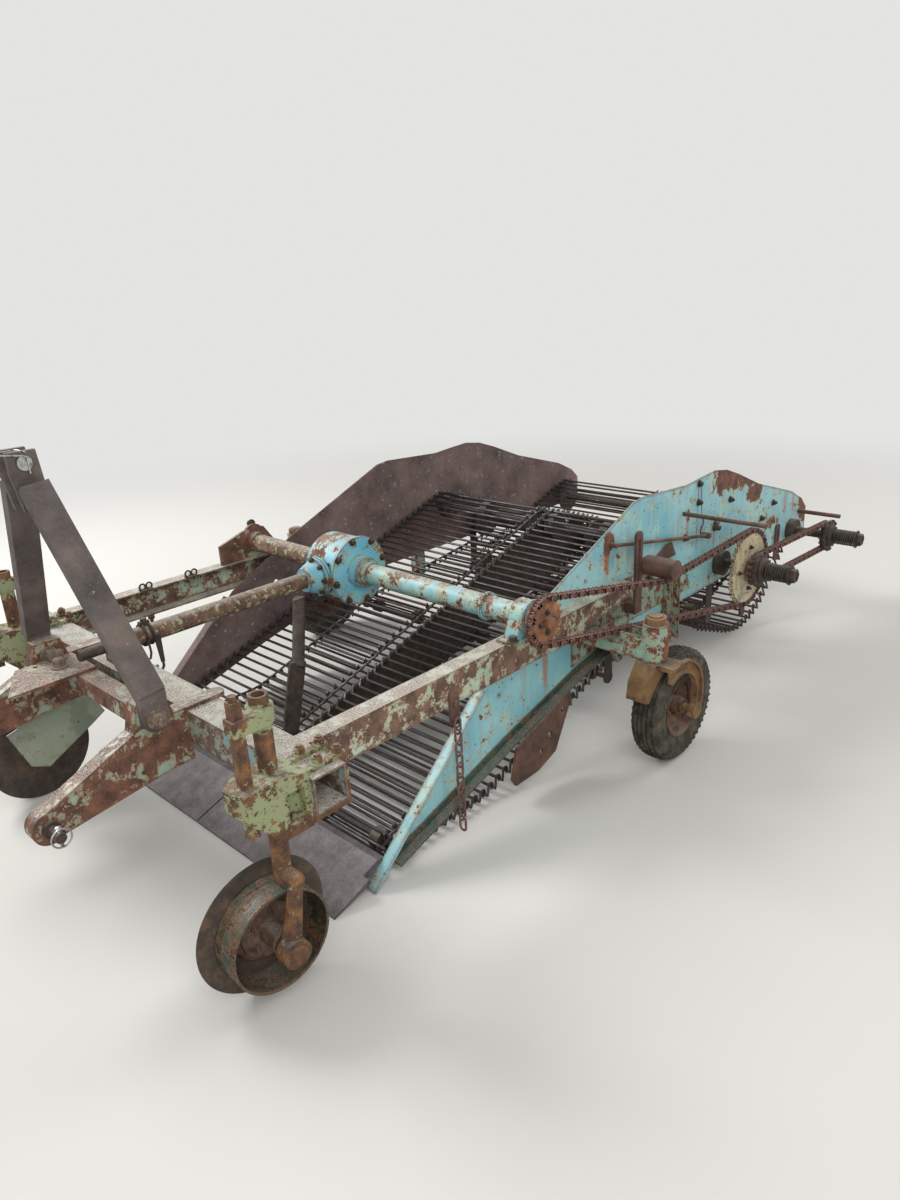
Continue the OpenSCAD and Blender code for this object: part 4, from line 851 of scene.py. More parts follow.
class Workpiece:
    """A piece put together from turned, swept and pressed solids."""

    def __init__(self) -> None:
        """Start with an empty mesh."""
        self.mesh = bmesh.new()

    def solid(self, rings: Sequence[Sequence[Vector]]) -> list[list[bmesh.types.BMVert]]:
        """Add the vertices of a solid, ring by ring."""
        return [[self.mesh.verts.new(point) for point in ring] for ring in rings]

    def skin(self, corners: Sequence[Sequence[bmesh.types.BMVert]]) -> None:
        """Add a solid's faces and turn them outwards."""
        bmesh.ops.recalc_face_normals(self.mesh, faces=[self.mesh.faces.new(c) for c in corners])

    def lathe(self, axis: Axis, outline: Sequence[tuple[float, float]], sides: int = 48) -> None:
        """Turn a closed outline about an axis into a solid of revolution.

        Args:
            axis: the axis to turn about.
            outline: (length along the axis, radius) in millimetres; a radius of zero makes a pole.
            sides: number of sides of a ring.
        """
        rings = self.solid([[axis.point(radius, a, along) for a in (round_the_clock(sides) if radius > 0 else [0.0])]
                            for along, radius in outline])
        faces = []
        for low, high in zip(rings, rings[1:] + rings[:1]):
            for k in range(sides):
                j = (k + 1) % sides
                ring = (low[k % len(low)], low[j % len(low)], high[j % len(high)], high[k % len(high)])
                faces.append(list(dict.fromkeys(ring)))
        self.skin([corners for corners in faces if len(corners) > 2])

    def collar(self, axis: Axis, bore: float, outline: Sequence[tuple[float, float]], sides: int = 48) -> None:
        """Turn an outline round a bore, where a bore of zero leaves the solid whole.

        Args:
            axis: the axis to turn about.
            bore: the bore's radius in millimetres.
            outline: (length along the axis, radius) from one face to the other.
            sides: number of sides of a ring.
        """
        self.lathe(axis, [(outline[0][0], bore), *outline, (outline[-1][0], bore)], sides)

    def sweep(self, path: Sequence[Vector], radius: float, closed: bool = False) -> None:
        """Sweep a round wire with eight sides along a path.

        Args:
            path: points in metres.
            radius: the wire's radius in millimetres.
            closed: whether the path is a ring.
        """
        sides, count = 8, len(path)
        sections, normal = [], None
        for i, point in enumerate(path):
            before = path[i - 1] if closed or i > 0 else point
            after = path[(i + 1) % count] if closed or i < count - 1 else point
            ahead = (after - before).normalized()
            if normal is None:
                normal = ahead.orthogonal()
            normal = (normal - ahead * normal.dot(ahead)).normalized()
            other = ahead.cross(normal)
            sections.append([point + radius * MM * (normal * math.cos(a) + other * math.sin(a))
                             for a in round_the_clock(sides)])
        rings = self.solid(sections)
        faces = []
        for low, high in list(zip(rings, rings[1:])) + ([(rings[-1], rings[0])] if closed else []):
            # The last ring of a closed path may be turned against the first: match the nearest corner
            shift = min(range(sides), key=lambda s: (high[s].co - low[0].co).length) if low is rings[-1] else 0
            for k in range(sides):
                j = (k + 1) % sides
                faces.append((low[k], low[j], high[(j + shift) % sides], high[(k + shift) % sides]))
        self.skin(faces + ([] if closed else [rings[0][::-1], rings[-1]]))

    def bend(self, radius: float, *places: Triple) -> None:
        """Sweep a round wire of a radius through places in millimetres."""
        self.sweep([at(*place) for place in places], radius)

    def prism(self, outline: Sequence[Vector], depth: Triple) -> None:
        """Push a flat outline through its depth into a solid plate.

        Args:
            outline: its corners in metres, in order.
            depth: the thickness as a vector in millimetres.
        """
        low, high = self.solid([outline, [point + Vector(depth) * MM for point in outline]])
        walls = [(low[k - 1], low[k], high[k], high[k - 1]) for k in range(len(outline))]
        self.skin([low, high, *walls])

    def plate(self, depth: Triple, *corners: Triple) -> None:
        """Make a flat plate from its corners and its depth in millimetres."""
        self.prism([at(*corner) for corner in corners], depth)

    def hand_over(self, name: str, body: str, coat: Coat, *nodes: str) -> None:
        """Make the piece an object with its finish, and hand it over."""
        hand_over(make_object(name, self.mesh, coat.value), body, coat, *nodes)


@dataclass(frozen=True)
class Seat:
    """A place for a repeated shape: a point in metres, the turn of its axes and the shape's kind."""

    point: Vector
    turn: Matrix
    kind: int = 0

    @staticmethod
    def facing(place: Triple, along: Triple, kind: int = 0) -> "Seat":
        """Return a seat, given in millimetres, whose Z axis points along a direction."""
        return Seat(at(*place), turn_to(along), kind)

    @staticmethod
    def circle(centre: Triple, radius: float, along: Triple, count: int, kind: int = 0,
               start: float = 0.0) -> list["Seat"]:
        """Space seats evenly on a circle about an axis along X or Y.

        Args:
            centre: the circle's centre in millimetres.
            radius: its radius.
            along: the direction that the seats face.
            count: number of seats.
            kind: their kind.
            start: angle of the first seat in radians.

        Returns:
            The seats.
        """
        x, y, z = centre
        seats = []
        for a in round_the_clock(count):
            level, rise = radius * math.cos(a + start), radius * math.sin(a + start)
            place = (x, y + level, z + rise) if along[0] else (x + level, y, z + rise)
            seats.append(Seat.facing(place, along, kind))
        return seats


class Growth(Nodes):
    """A Geometry Nodes tree that sets a shape on every point of a mesh.

    The points carry the attributes turn, an Euler angle, and kind, a whole number. A subclass draws the shapes.
    """

    def __init__(self, name: str, lengths: dict[str, float], numbers: Optional[dict[str, float]] = None) -> None:
        """Start the tree.

        Args:
            name: the tree's name.
            lengths: its named inputs in millimetres.
            numbers: its other named inputs.
        """
        super().__init__(bpy.data.node_groups.new(name, "GeometryNodeTree"))
        self.sizes = {**{key: value * MM for key, value in lengths.items()}, **(numbers or {})}
        kinds = {"Points": "Geometry", **dict.fromkeys(self.sizes, "Float"), "Finish": "Material"}
        for key, kind in kinds.items():
            self.tree.interface.new_socket(key, in_out="INPUT", socket_type="NodeSocket" + kind)
        self.tree.interface.new_socket("Shape", in_out="OUTPUT", socket_type="NodeSocketGeometry")
        self.start = self.node("NodeGroupInput")
        self.finish()

    def values(self, *names: str) -> list[Socket]:
        """Return the sockets of named inputs."""
        return [self.start.outputs[name] for name in names]

    def moved(self, shape: Socket, by: Any = (0.0, 0.0, 0.0), turn: Triple = (0.0, 0.0, 0.0)) -> Socket:
        """Return a shape turned by an Euler angle and then moved."""
        return self.add("GeometryNodeTransform", {"Geometry": shape, "Translation": by, "Rotation": turn})

    def bar(self, sides: int, radius: Any, depth: Any, centre: Any = (0.0, 0.0, 0.0),
            turn: Triple = (0.0, 0.0, 0.0)) -> Socket:
        """Draw a round bar.

        Args:
            sides: number of sides.
            radius: its radius.
            depth: its length, along Z before it is turned.
            centre: its middle.
            turn: Euler angle of its turn.

        Returns:
            The bar.
        """
        return self.moved(self.add("GeometryNodeMeshCylinder", {"Vertices": sides, "Radius": radius, "Depth": depth}),
                          centre, turn)

    def wire(self, curve: Socket, radius: Socket, sides: int = 6) -> Socket:
        """Return a curve as a round wire."""
        ring = self.add("GeometryNodeCurvePrimitiveCircle", {"Resolution": sides, "Radius": radius}, mode="RADIUS")
        return self.add("GeometryNodeCurveToMesh", {"Curve": curve, "Profile Curve": ring, "Fill Caps": True})

    def join(self, *parts: Socket) -> Socket:
        """Join geometries into one.

        Args:
            parts: the geometries.

        Returns:
            The joined geometry.
        """
        joined = self.node("GeometryNodeJoinGeometry")
        for part in parts:
            self.feed(joined, {0: part})
        return joined.outputs[0]

    def shapes(self) -> list[Socket]:
        """Return the shape of each kind, in the seat's own axes."""
        raise NotImplementedError

    def named(self, name: str, data_type: str) -> Socket:
        """Return an attribute of the points."""
        return self.node("GeometryNodeInputNamedAttribute", {"Name": name}, data_type=data_type).outputs["Attribute"]

    def finish(self) -> None:
        """Set each kind's shape on its points, realise them and give them the finish."""
        points, material = self.values("Points", "Finish")
        rotation = self.add("FunctionNodeEulerToRotation", {0: self.named("turn", "FLOAT_VECTOR")})
        kind = self.named("kind", "INT")
        sets = []
        for number, shape in enumerate(self.shapes()):
            chosen = self.add("FunctionNodeCompare", {"A": kind, "B": number}, data_type="INT", operation="EQUAL")
            sets.append(self.add("GeometryNodeInstanceOnPoints", {
                "Points": points, "Selection": chosen, "Instance": shape, "Rotation": rotation}))
        real = self.add("GeometryNodeRealizeInstances", {0: self.join(*sets)})
        coated = self.add("GeometryNodeSetMaterial", {"Geometry": real, "Material": material})
        self.node("NodeGroupOutput", {"Shape": coated})

    def grow(self, name: str, seats: Sequence[Seat], body: str, coat: Coat, *nodes: str) -> None:
        """Set the shapes on the seats, and hand the result over as a plain object.

        Args:
            name: the object's name.
            seats: where the shapes go.
            body: the body it moves with.
            coat: its finish.
            nodes: the CAD nodes that it stands for.
        """
        points = bpy.data.meshes.new(name + "_points")
        points.from_pydata([tuple(s.point) for s in seats], [], [])
        turns = points.attributes.new("turn", "FLOAT_VECTOR", "POINT")
        turns.data.foreach_set("vector", [c for s in seats for c in s.turn.to_euler()])
        points.attributes.new("kind", "INT", "POINT").data.foreach_set("value", [s.kind for s in seats])
        holder = link_object(name + "_points", points)
        modifier = holder.modifiers.new("growth", "NODES")
        modifier.node_group = self.tree
        inputs = {**self.sizes, "Finish": coat.value.material()}
        for item in self.tree.interface.items_tree:
            if item.name in inputs:
                modifier[item.identifier] = inputs[item.name]
        data = bpy.data.meshes.new_from_object(holder.evaluated_get(bpy.context.evaluated_depsgraph_get()))
        data.name = name
        bpy.data.objects.remove(holder)
        bpy.data.meshes.remove(points)
        hand_over(link_object(name, data), body, coat, *nodes)


@dataclass(frozen=True)
class Loop:
    """A belt line over wheels.

    Attributes:
        wheels: (x, z, radius) in millimetres, anticlockwise seen from the left with X to the right; a negative
            radius bends the line the other way.
    """

    wheels: tuple[Triple, ...]

    def legs(self) -> list[tuple[float, Triple, float, float]]:
        """List the line's turns and straights.

        Returns:
            Length, wheel or start, heading and turn in radians of each.
        """
        legs = []
        for before, wheel, after in zip(self.wheels[-1:] + self.wheels, self.wheels, self.wheels[1:] + self.wheels[:1]):
            h0, h1 = self.heading(before, wheel), self.heading(wheel, after)
            turn = (h1 - h0) % (2 * math.pi) if wheel[2] > 0 else -((h0 - h1) % (2 * math.pi))
            start, end = self.rim(wheel, h1), self.rim(after, h1)
            legs += [(abs(wheel[2] * turn), wheel, h0, turn), (math.dist(start, end), (*start, 0.0), h1, 0.0)]
        return legs

    @staticmethod
    def heading(a: Triple, b: Triple) -> float:
        """Return the heading of the straight from one wheel to the next."""
        return math.atan2(b[1] - a[1], b[0] - a[0]) + math.asin((a[2] - b[2]) / math.dist(a[:2], b[:2]))

    @staticmethod
    def rim(wheel: Triple, heading: float) -> tuple[float, float]:
        """Return the place on a wheel where the line has a heading."""
        return wheel[0] + wheel[2] * math.sin(heading), wheel[1] - wheel[2] * math.cos(heading)

    def stations(self, pitch: float) -> list[tuple[float, float]]:
        """Space places evenly along the line.

        Args:
            pitch: the spacing wanted in millimetres.

        Returns:
            The places as (x, z), as near to the pitch as a whole number allows.
        """
        legs = self.legs()
        total = sum(leg[0] for leg in legs)
        count = round(total / pitch)
        places = []
        for i in range(count):
            rest = total * i / count
            for length, start, heading, turn in legs:
                if rest <= length:
                    break
                rest -= length
            if turn:
                places.append(self.rim(start, heading + turn * rest / length))
            else:
                places.append((start[0] + rest * math.cos(heading), start[1] + rest * math.sin(heading)))
        return places

    def seats(self, pitch: float, y: float, share: float, kinds: int) -> list[Seat]:
        """Set a seat on every link, with X along it.

        Args:
            pitch: length of a link.
            y: the line's place across the machine.
            share: how far along its link a seat lies, from 0 to 1.
            kinds: number of kinds that follow each other.

        Returns:
            The seats.
        """
        places = self.stations(pitch)
        seats = []
        for i, ((x, z), (next_x, next_z)) in enumerate(zip(places, places[1:] + places[:1])):
            run, side = Vector((next_x - x, 0.0, next_z - z)).normalized(), Vector(RIGHT)
            point = at(x + share * (next_x - x), y, z + share * (next_z - z))
            seats.append(Seat(point, Matrix((run, side, run.cross(side))).transposed(), i % kinds))
        return seats


class ChainGrowth(Growth):
    """Roller chain: inner links with rollers and outer links with pins, by turns."""

    def shapes(self) -> list[Socket]:
        """Draw the plates, the rollers and the pins.

        Returns:
            The inner and the outer link.
        """
        pitch, high, plate = self.values("Pitch", "Height", "Plate")
        ends = [self.times(pitch, end) for end in (-0.5, 0.5)]
        kinds = []
        for names in (("Inner gap", "Roller", "Inner gap"), ("Outer gap", "Pin", "Pin length")):
            gap, thick, width = self.values(*names)
            parts = []
            for side in (-0.5, 0.5):
                shift = self.times(self.plus(gap, plate), side)
                parts += [self.bar(12, self.times(high, 0.5), plate, self.vector(end, shift, 0.0), Z_TO_Y)
                          for end in ends]
                waist = self.add("GeometryNodeMeshCube", {"Size": self.vector(pitch, plate, self.times(high, 0.66))})
                parts.append(self.moved(waist, self.vector(0.0, shift, 0.0)))
            parts += [self.bar(10, self.times(thick, 0.5), width, self.vector(end, 0.0, 0.0), Z_TO_Y)
                      for end in ends]
            kinds.append(self.join(*parts))
        return kinds


class RodGrowth(Growth):
    """Rods of a web: a round bar across, with an end cranked forward and hooked over the next rod."""

    def bend(self, steps: int, *corners: Sequence[Any]) -> Socket:
        """Bend the rod's wire along a curve.

        Args:
            steps: number of straight lengths.
            corners: its start, its two handles and its end.

        Returns:
            The bent wire.
        """
        places = {name: self.vector(*corner)
                  for name, corner in zip(("Start", "Start Handle", "End Handle", "End"), corners)}
        curve = self.add("GeometryNodeCurvePrimitiveBezierSegment", {"Resolution": steps, **places}, mode="POSITION")
        return self.wire(curve, self.times(*self.values("Rod"), 0.46))

    def shapes(self) -> list[Socket]:
        """Draw the bar, and crank and hook both its ends.

        Returns:
            One rod with its two hooks.
        """
        rod, width, pitch = self.values("Rod", "Width", "Pitch")
        parts = [self.bar(10, self.times(rod, 0.5), width, turn=Z_TO_Y)]
        for side in (-1.0, 1.0):
            own = self.times(self.math("SUBTRACT", width, rod), 0.5 * side)
            hooked = self.plus(own, self.times(rod, -1.6 * side))
            crank_end = (pitch, hooked, rod)
            parts.append(self.bend(5, (0.0, own, 0.0), (self.times(pitch, 0.35), own, 0.0),
                                   (self.times(pitch, 0.55), hooked, rod), crank_end))
            parts.append(self.bend(4, crank_end, (self.math("MULTIPLY_ADD", rod, 1.3, pitch), hooked, rod),
                                   (self.plus(pitch, rod), hooked, self.times(rod, -1.1)),
                                   (self.math("MULTIPLY_ADD", rod, -0.15, pitch), hooked, self.times(rod, -1.05))))
        return [self.join(*parts)]


class BoltGrowth(Growth):
    """Hexagonal bolt heads on washers, with the end of the thread standing out where the nut is on this side."""

    def __init__(self, name: str, across: float) -> None:
        """Start the tree from the width across the flats in millimetres."""
        super().__init__(name, {"Across flats": across, "Height": 0.62 * across, "Washer": 0.14 * across,
                                "Stud": 6.0})

    def standing(self, sides: int, share: float, high: Socket, foot: Any) -> Socket:
        """Return an upright bar: its sides, radius as a share of the width, height and foot."""
        radius = self.times(*self.values("Across flats"), share)
        return self.bar(sides, radius, high, self.vector(0.0, 0.0, self.math("MULTIPLY_ADD", high, 0.5, foot)))

    def shapes(self) -> list[Socket]:
        """Stand the washer, the hexagon, and the crown or the thread on one another.

        Returns:
            A bolt head, and a nut with its thread end.
        """
        washer, high, stud = self.values("Washer", "Height", "Stud")
        low = [self.standing(20, 0.82, washer, 0.0), self.standing(6, 0.5774, high, washer)]
        crown = self.standing(12, 0.46, self.times(high, 0.16), self.math("MULTIPLY_ADD", high, 0.97, washer))
        return [self.join(*low, crown), self.join(*low, self.standing(12, 0.32, stud, self.plus(washer, high)))]


class LugGrowth(Growth):
    """Moulded tread: blocks that lean out over the tyre's shoulder, and ribs of shorter blocks at its middle."""

    def shapes(self) -> list[Socket]:
        """Raise each block from its base and draw its top in.

        Returns:
            A shoulder block and a rib block.
        """
        kinds = []
        for part in ("Block", "Rib"):
            long, wide, high = self.values(part + " length", part + " width", part + " height")
            base = self.add("GeometryNodeMeshGrid", {"Size X": long, "Size Y": wide, "Vertices X": 2, "Vertices Y": 3})
            sunk = self.moved(base, self.vector(0.0, 0.0, self.times(high, -0.5)))
            grown = self.node("GeometryNodeExtrudeMesh", {"Mesh": sunk, "Offset Scale": high, "Individual": False},
                              mode="FACES").outputs
            kinds.append(self.add("GeometryNodeScaleElements", {
                "Geometry": grown["Mesh"], "Selection": grown["Top"], "Scale": 0.8}, domain="FACE"))
        return kinds


class RingLinkGrowth(Growth):
    """Welded chain: oval links of round wire."""

    def shapes(self) -> list[Socket]:
        """Draw an oval and give it its wire.

        Returns:
            One link, long along Z.
        """
        width, length, wire = self.values("Width", "Length", "Wire")
        line = self.add("GeometryNodeCurvePrimitiveQuadrilateral", {"Width": width, "Height": length},
                        mode="RECTANGLE")
        rounded = self.add("GeometryNodeFilletCurve", {"Curve": line, "Radius": self.times(width, 0.49), "Count": 4},
                           mode="POLY")
        return [self.wire(self.moved(rounded, turn=Z_TO_Y), self.times(wire, 0.5))]


class CoilGrowth(Growth):
    """Compression spring of round wire, wound along the seat's Z axis."""

    def shapes(self) -> list[Socket]:
        """Wind the wire.

        Returns:
            One spring.
        """
        turns, radius, length, wire = self.values("Turns", "Radius", "Length", "Wire")
        line = self.add("GeometryNodeCurveSpiral", {"Resolution": 20, "Rotations": turns, "Start Radius": radius,
                                                    "End Radius": radius, "Height": length})
        return [self.wire(line, self.times(wire, 0.5), 8)]


@dataclass
class RollerChains:
    """The main chain to the front web shaft and the rear chain to the rear web shaft, in millimetres."""

    pitch: float = 25.4
    height: float = 23.0
    plate: float = 2.6
    inner_gap: float = 14.6
    roller: float = 15.9
    pin: float = 8.3
    main_y: float = -850.0
    rear_y: float = -890.0

    def sprocket(self, shaft: tuple[float, float], teeth: int) -> Triple:
        """Return a sprocket's pitch circle on a shaft."""
        return (*shaft, self.pitch / 2 / math.sin(math.pi / teeth))

    def build(self) -> None:
        """Grow both chains on their loops."""
        growth = ChainGrowth("roller_chain_growth", {
            "Pitch": self.pitch, "Height": self.height, "Plate": self.plate, "Inner gap": self.inner_gap,
            "Outer gap": self.inner_gap + 2 * self.plate + 0.5, "Roller": self.roller, "Pin": self.pin,
            "Pin length": self.inner_gap + 4 * self.plate + 5.0})
        main = Loop((self.sprocket(FRONT_SHAFT, 40), (1600, 640, -47), self.sprocket(CROSS_SHAFT, 19)))
        rear = Loop((self.sprocket(REAR_SHAFT, 15), self.sprocket(FRONT_SHAFT, 15)))
        for name, loop, y in (("main_chain", main, self.main_y), ("rear_chain", rear, self.rear_y)):
            growth.grow(name + "_links", loop.seats(self.pitch, y, 0.5, 2), "frame", Coat.CHAIN_STEEL, name)


@dataclass
class RodWebs:
    """The four webs of hooked rods, in millimetres."""

    pitch: float = 42.0
    rod: float = 11.0
    inner_y: float = 17.0
    outer_y: float = 687.0

    def build(self) -> None:
        """Grow the two front webs and the two rear webs."""
        growth = RodGrowth("web_rod_growth", {"Pitch": self.pitch, "Rod": self.rod,
                                              "Width": self.outer_y - self.inner_y})
        front = Loop(((*FRONT_SHAFT, 100), (1975, 595, 64), (326, 62, 40), (720, 272, 250), (1450, 212, -34)))
        rear = Loop(((*REAR_SHAFT, 92), (2240, 205, 55), (2620, 420, 390)))
        middle = (self.inner_y + self.outer_y) / 2
        for stage, loop in (("front", front), ("rear", rear)):
            for hand, side in (("left", -1), ("right", 1)):
                node = f"{stage}_web_{hand}"
                growth.grow(node + "_rods", loop.seats(self.pitch, side * middle, 0.0, 1), "frame",
                            Coat.ROD_STEEL, node)


@dataclass
class SlipClutch:
    """A spring-loaded clutch on a shaft end: toothed plates, pressure plate, coil spring and castle nut.

    Attributes:
        node: the CAD node that it stands for.
        shaft: the shaft's place as x and z in millimetres.
        y: the inner face of its first plate.
        end: the outer face of its nut.
        bore: radius of the bore of its plates.
        plates_end, washer: where the spring starts on the axis, and what is left for washer and nut.
        turns: turns of the spring.
        wire, spring_r: its wire and its mean radius.
        teeth_count: teeth round the first plate.
    """

    node: str
    shaft: tuple[float, float]
    y: float = -902.0
    end: float = -1064.0
    bore: float = 20.4
    plates_end: float = 32.0
    washer: float = 27.0
    turns: float = 9.0
    wire: float = 8.5
    spring_r: float = 33.0
    teeth_count: int = 12

    def build(self) -> None:
        """Turn the plates, the sleeve and the nut, and wind the spring."""
        x, z = self.shaft
        axis = Axis((x, self.y, z), LEFT)
        length = self.y - self.end
        piece = Workpiece()
        for outline in ([(0, 74), (2, 75), (9, 75), (10, 71), (12, 71), (14, 66)],
                        [(14.2, 53), (16, 55), (21, 55), (22, 52), (23, 52), (28, 47)],
                        [(28.1, 44), (31, 44), (32, 41), (32, 26), (38, 26)]):
            piece.collar(axis, self.bore, outline)
        self.teeth(piece, axis)
        piece.collar(axis, self.bore, [(length - self.washer, 42), (length - 24, 42)])
        piece.collar(axis, self.bore, [(length - 24, 30), (length - 22, 31), (length - 3, 31), (length, 28)], 6)
        piece.hand_over(self.node + "_plates", "frame", Coat.DARK_STEEL, self.node)
        growth = CoilGrowth(self.node + "_coil_growth", {
            "Radius": self.spring_r, "Wire": self.wire,
            "Length": length - self.washer - self.plates_end - self.wire}, {"Turns": self.turns})
        seat = Seat.facing((x, self.y - self.plates_end - self.wire / 2, z), LEFT)
        growth.grow(self.node + "_spring", [seat], "frame", Coat.SPRING_STEEL)

    def teeth(self, piece: Workpiece, axis: Axis) -> None:
        """Stand the saw-shaped clutch teeth between the two plates.

        Args:
            piece: gets the teeth.
            axis: the shaft's axis.
        """
        for a in round_the_clock(self.teeth_count):
            a0, a1 = (a + 2 * math.pi * part / self.teeth_count for part in (0.1, 0.62))
            piece.prism([axis.point(r, b, 8) for r, b in ((70, a0), (77, a0), (77, a1), (70, a1))], (0, -9, 0))


@dataclass
class CastorWheel:
    """A small tyre with shoulder blocks and ribs on a pressed steel rim, in millimetres.

    Attributes:
        hand: left or right.
        y: the wheel's middle.
    """

    hand: str
    y: float
    x: float = 1415.0
    radius: float = 210.0
    bead: float = 107.5
    bore: float = 13.0
    lugs: int = 46

    def build(self) -> None:
        """Turn the tyre and the rim, and set the tread on the tyre."""
        body = "wheel_" + self.hand
        axis = Axis((self.x, self.y, self.radius), LEFT)
        tyre = Workpiece()
        tyre.lathe(axis, self.section(), sides=96)
        tyre.hand_over("tyre_" + self.hand, body, Coat.TYRE_RUBBER, "castor_wheel_" + self.hand)
        rim = Workpiece()
        bead = self.bead
        half = [(46, bead + 8), (48, bead + 4), (45, bead + 2), (38, bead - 2), (34, bead - 8), (24, bead - 20),
                (0, bead - 22)]
        outer = half + [(-a, r) for a, r in half[-2::-1]]
        rim.lathe(axis, outer + [(a * 0.94, r - 4) for a, r in reversed(outer)], sides=72)
        rim.collar(axis, self.bore, [(-6, 58), (6, 76), (8, 84), (8, bead - 23), (14, bead - 23), (14, 82), (10, 74),
                                     (-1, 55)], 72)
        for side in (-1, 1):
            rim.collar(axis, self.bore, [(side * 1, 33), (side * 30, 31), (side * 32, 27), (side * 48, 27)], 40)
        rim.hand_over("rim_" + self.hand, body, Coat.RIM_RUST)
        seats = Seat.circle((self.x, self.y - 1, self.radius), 45, LEFT, 5)
        BoltGrowth("wheel_bolt_growth_" + self.hand, 17).grow("rim_bolts_" + self.hand, seats, body, Coat.RIM_RUST)
        self.tread(body)

    def section(self) -> list[tuple[float, float]]:
        """Draw the tyre's outline, with a wear line on each wall and grooves on the crown.

        Returns:
            Length along the axle and radius of each corner.
        """
        r = self.radius
        half = [(0, r - 12), (3, r - 12), (4, r - 5), (13, r - 5), (14, r - 12), (20, r - 12), (21, r - 6),
                (30, r - 7), (31, r - 13), (37, r - 14), (38, r - 10), (45, r - 15), (50, r - 26), (52, r - 40),
                (52.5, r - 52), (51, r - 62), (52, r - 64), (50, r - 74), (47, r - 84), (45, r - 88), (46, r - 91),
                (42, self.bead + 5), (30, self.bead), (20, self.bead - 14)]
        return half + [(-a, radius) for a, radius in half[:0:-1]]

    def tread(self, body: str) -> None:
        """Set the shoulder blocks and the rib blocks round the tyre.

        Args:
            body: the wheel's body.
        """
        growth = LugGrowth("tread_growth_" + self.hand, {
            "Block length": 9.5, "Block width": 26.0, "Block height": 9.0,
            "Rib length": 14.0, "Rib width": 10.0, "Rib height": 7.0})
        rows = (
            # kind, place across, radius, lean in degrees, share of a step round the tyre
            (0, -44, 190, -52, 0.0), (0, 44, 190, 52, 0.5), (1, -25.5, 203, -6, 0.25),
            (1, 25.5, 203, 6, 0.75), (1, -8.5, 205, 0, 0.0), (1, 8.5, 205, 0, 0.5),
        )
        middle, side, seats = at(self.x, self.y, self.radius), Vector(RIGHT), []
        for a in round_the_clock(self.lugs):
            for kind, y, radius, lean, shift in rows:
                angle = a + 2 * math.pi * shift / self.lugs
                out = Vector((math.cos(angle), 0.0, math.sin(angle)))
                up = out * math.cos(math.radians(lean)) + side * math.sin(math.radians(lean))
                run = out.cross(side)
                turn = Matrix((run, up.cross(run), up)).transposed()
                seats.append(Seat(middle + side * y * MM + out * radius * MM, turn, kind))
        growth.grow("tread_" + self.hand, seats, body, Coat.TYRE_RUBBER)


@dataclass
class CoulterDisc:
    """A flat cutting disc with the open drum that limits its depth, its stepped boss and hub, in millimetres.

    Attributes:
        hand: left or right.
        side: minus one on the left.
        y: the disc's inner face.
        toe: angle in degrees that the disc is toed by.
    """

    hand: str
    side: int
    y: float
    x: float = -210.0
    radius: float = 183.0
    wall: float = 5.0
    bore: float = 12.56
    drum_radius: float = 138.0
    drum_width: float = 94.0
    hub_out: float = 100.0
    toe: float = -2.5

    def build(self) -> None:
        """Turn the disc, the drum and the hub about the axle."""
        toe = math.radians(self.toe)
        axis = Axis((self.x, self.y, self.radius), (math.sin(toe), self.side * math.cos(toe), 0.0))
        body = "disc_" + self.hand
        r, drum, wall, width = self.radius, self.drum_radius, self.wall, self.drum_width
        piece = Workpiece()
        # Ground edge, flat flange, and a shallow groove where the drum is welded on
        piece.collar(axis, self.bore, [
            (0, r - 2), (0.6, r), (1.6, r), (wall, r - 13), (wall, drum + 12), (wall + 1.5, drum + 9),
            (wall + 2.5, drum + 3), (wall + 2.5, drum - 1), (wall, drum - 6)], 112)
        piece.hand_over("cutting_disc_" + self.hand, body, Coat.DISC_STEEL, "coulter_disc_" + self.hand)
        piece = Workpiece()
        piece.lathe(axis, [
            (wall, drum - 1), (30, drum - 2.5), (33, drum - 0.5), (38, drum - 0.5), (41, drum - 2.5),
            (width - 10, drum - 2.5), (width - 6, drum), (width - 1, drum), (width, drum - 1.5),
            (width, drum - 7), (width - 2, drum - 8), (width - 4, drum - 7), (width - 7, drum - 5),
            (wall, drum - 5)], sides=96)
        piece.hand_over("depth_drum_" + self.hand, body, Coat.DRUM_GREEN)
        piece = Workpiece()
        # Stepped boss on the disc, and the hub with its grease collar
        piece.collar(axis, self.bore, [
            (wall, 94), (9, 94), (20, 84), (22, 78), (29, 76), (31, 72), (31, 34), (35, 30), (88, 28), (90, 31),
            (97, 31), (self.hub_out, 28)], 64)
        piece.hand_over("disc_hub_" + self.hand, body, Coat.HUB_IRON)
        seats = [Seat(axis.point(54, a, 31), turn_to(axis.along), 1) for a in round_the_clock(5)]
        BoltGrowth("disc_bolt_growth_" + self.hand, 17).grow("disc_bolts_" + self.hand, seats, body, Coat.HUB_IRON)


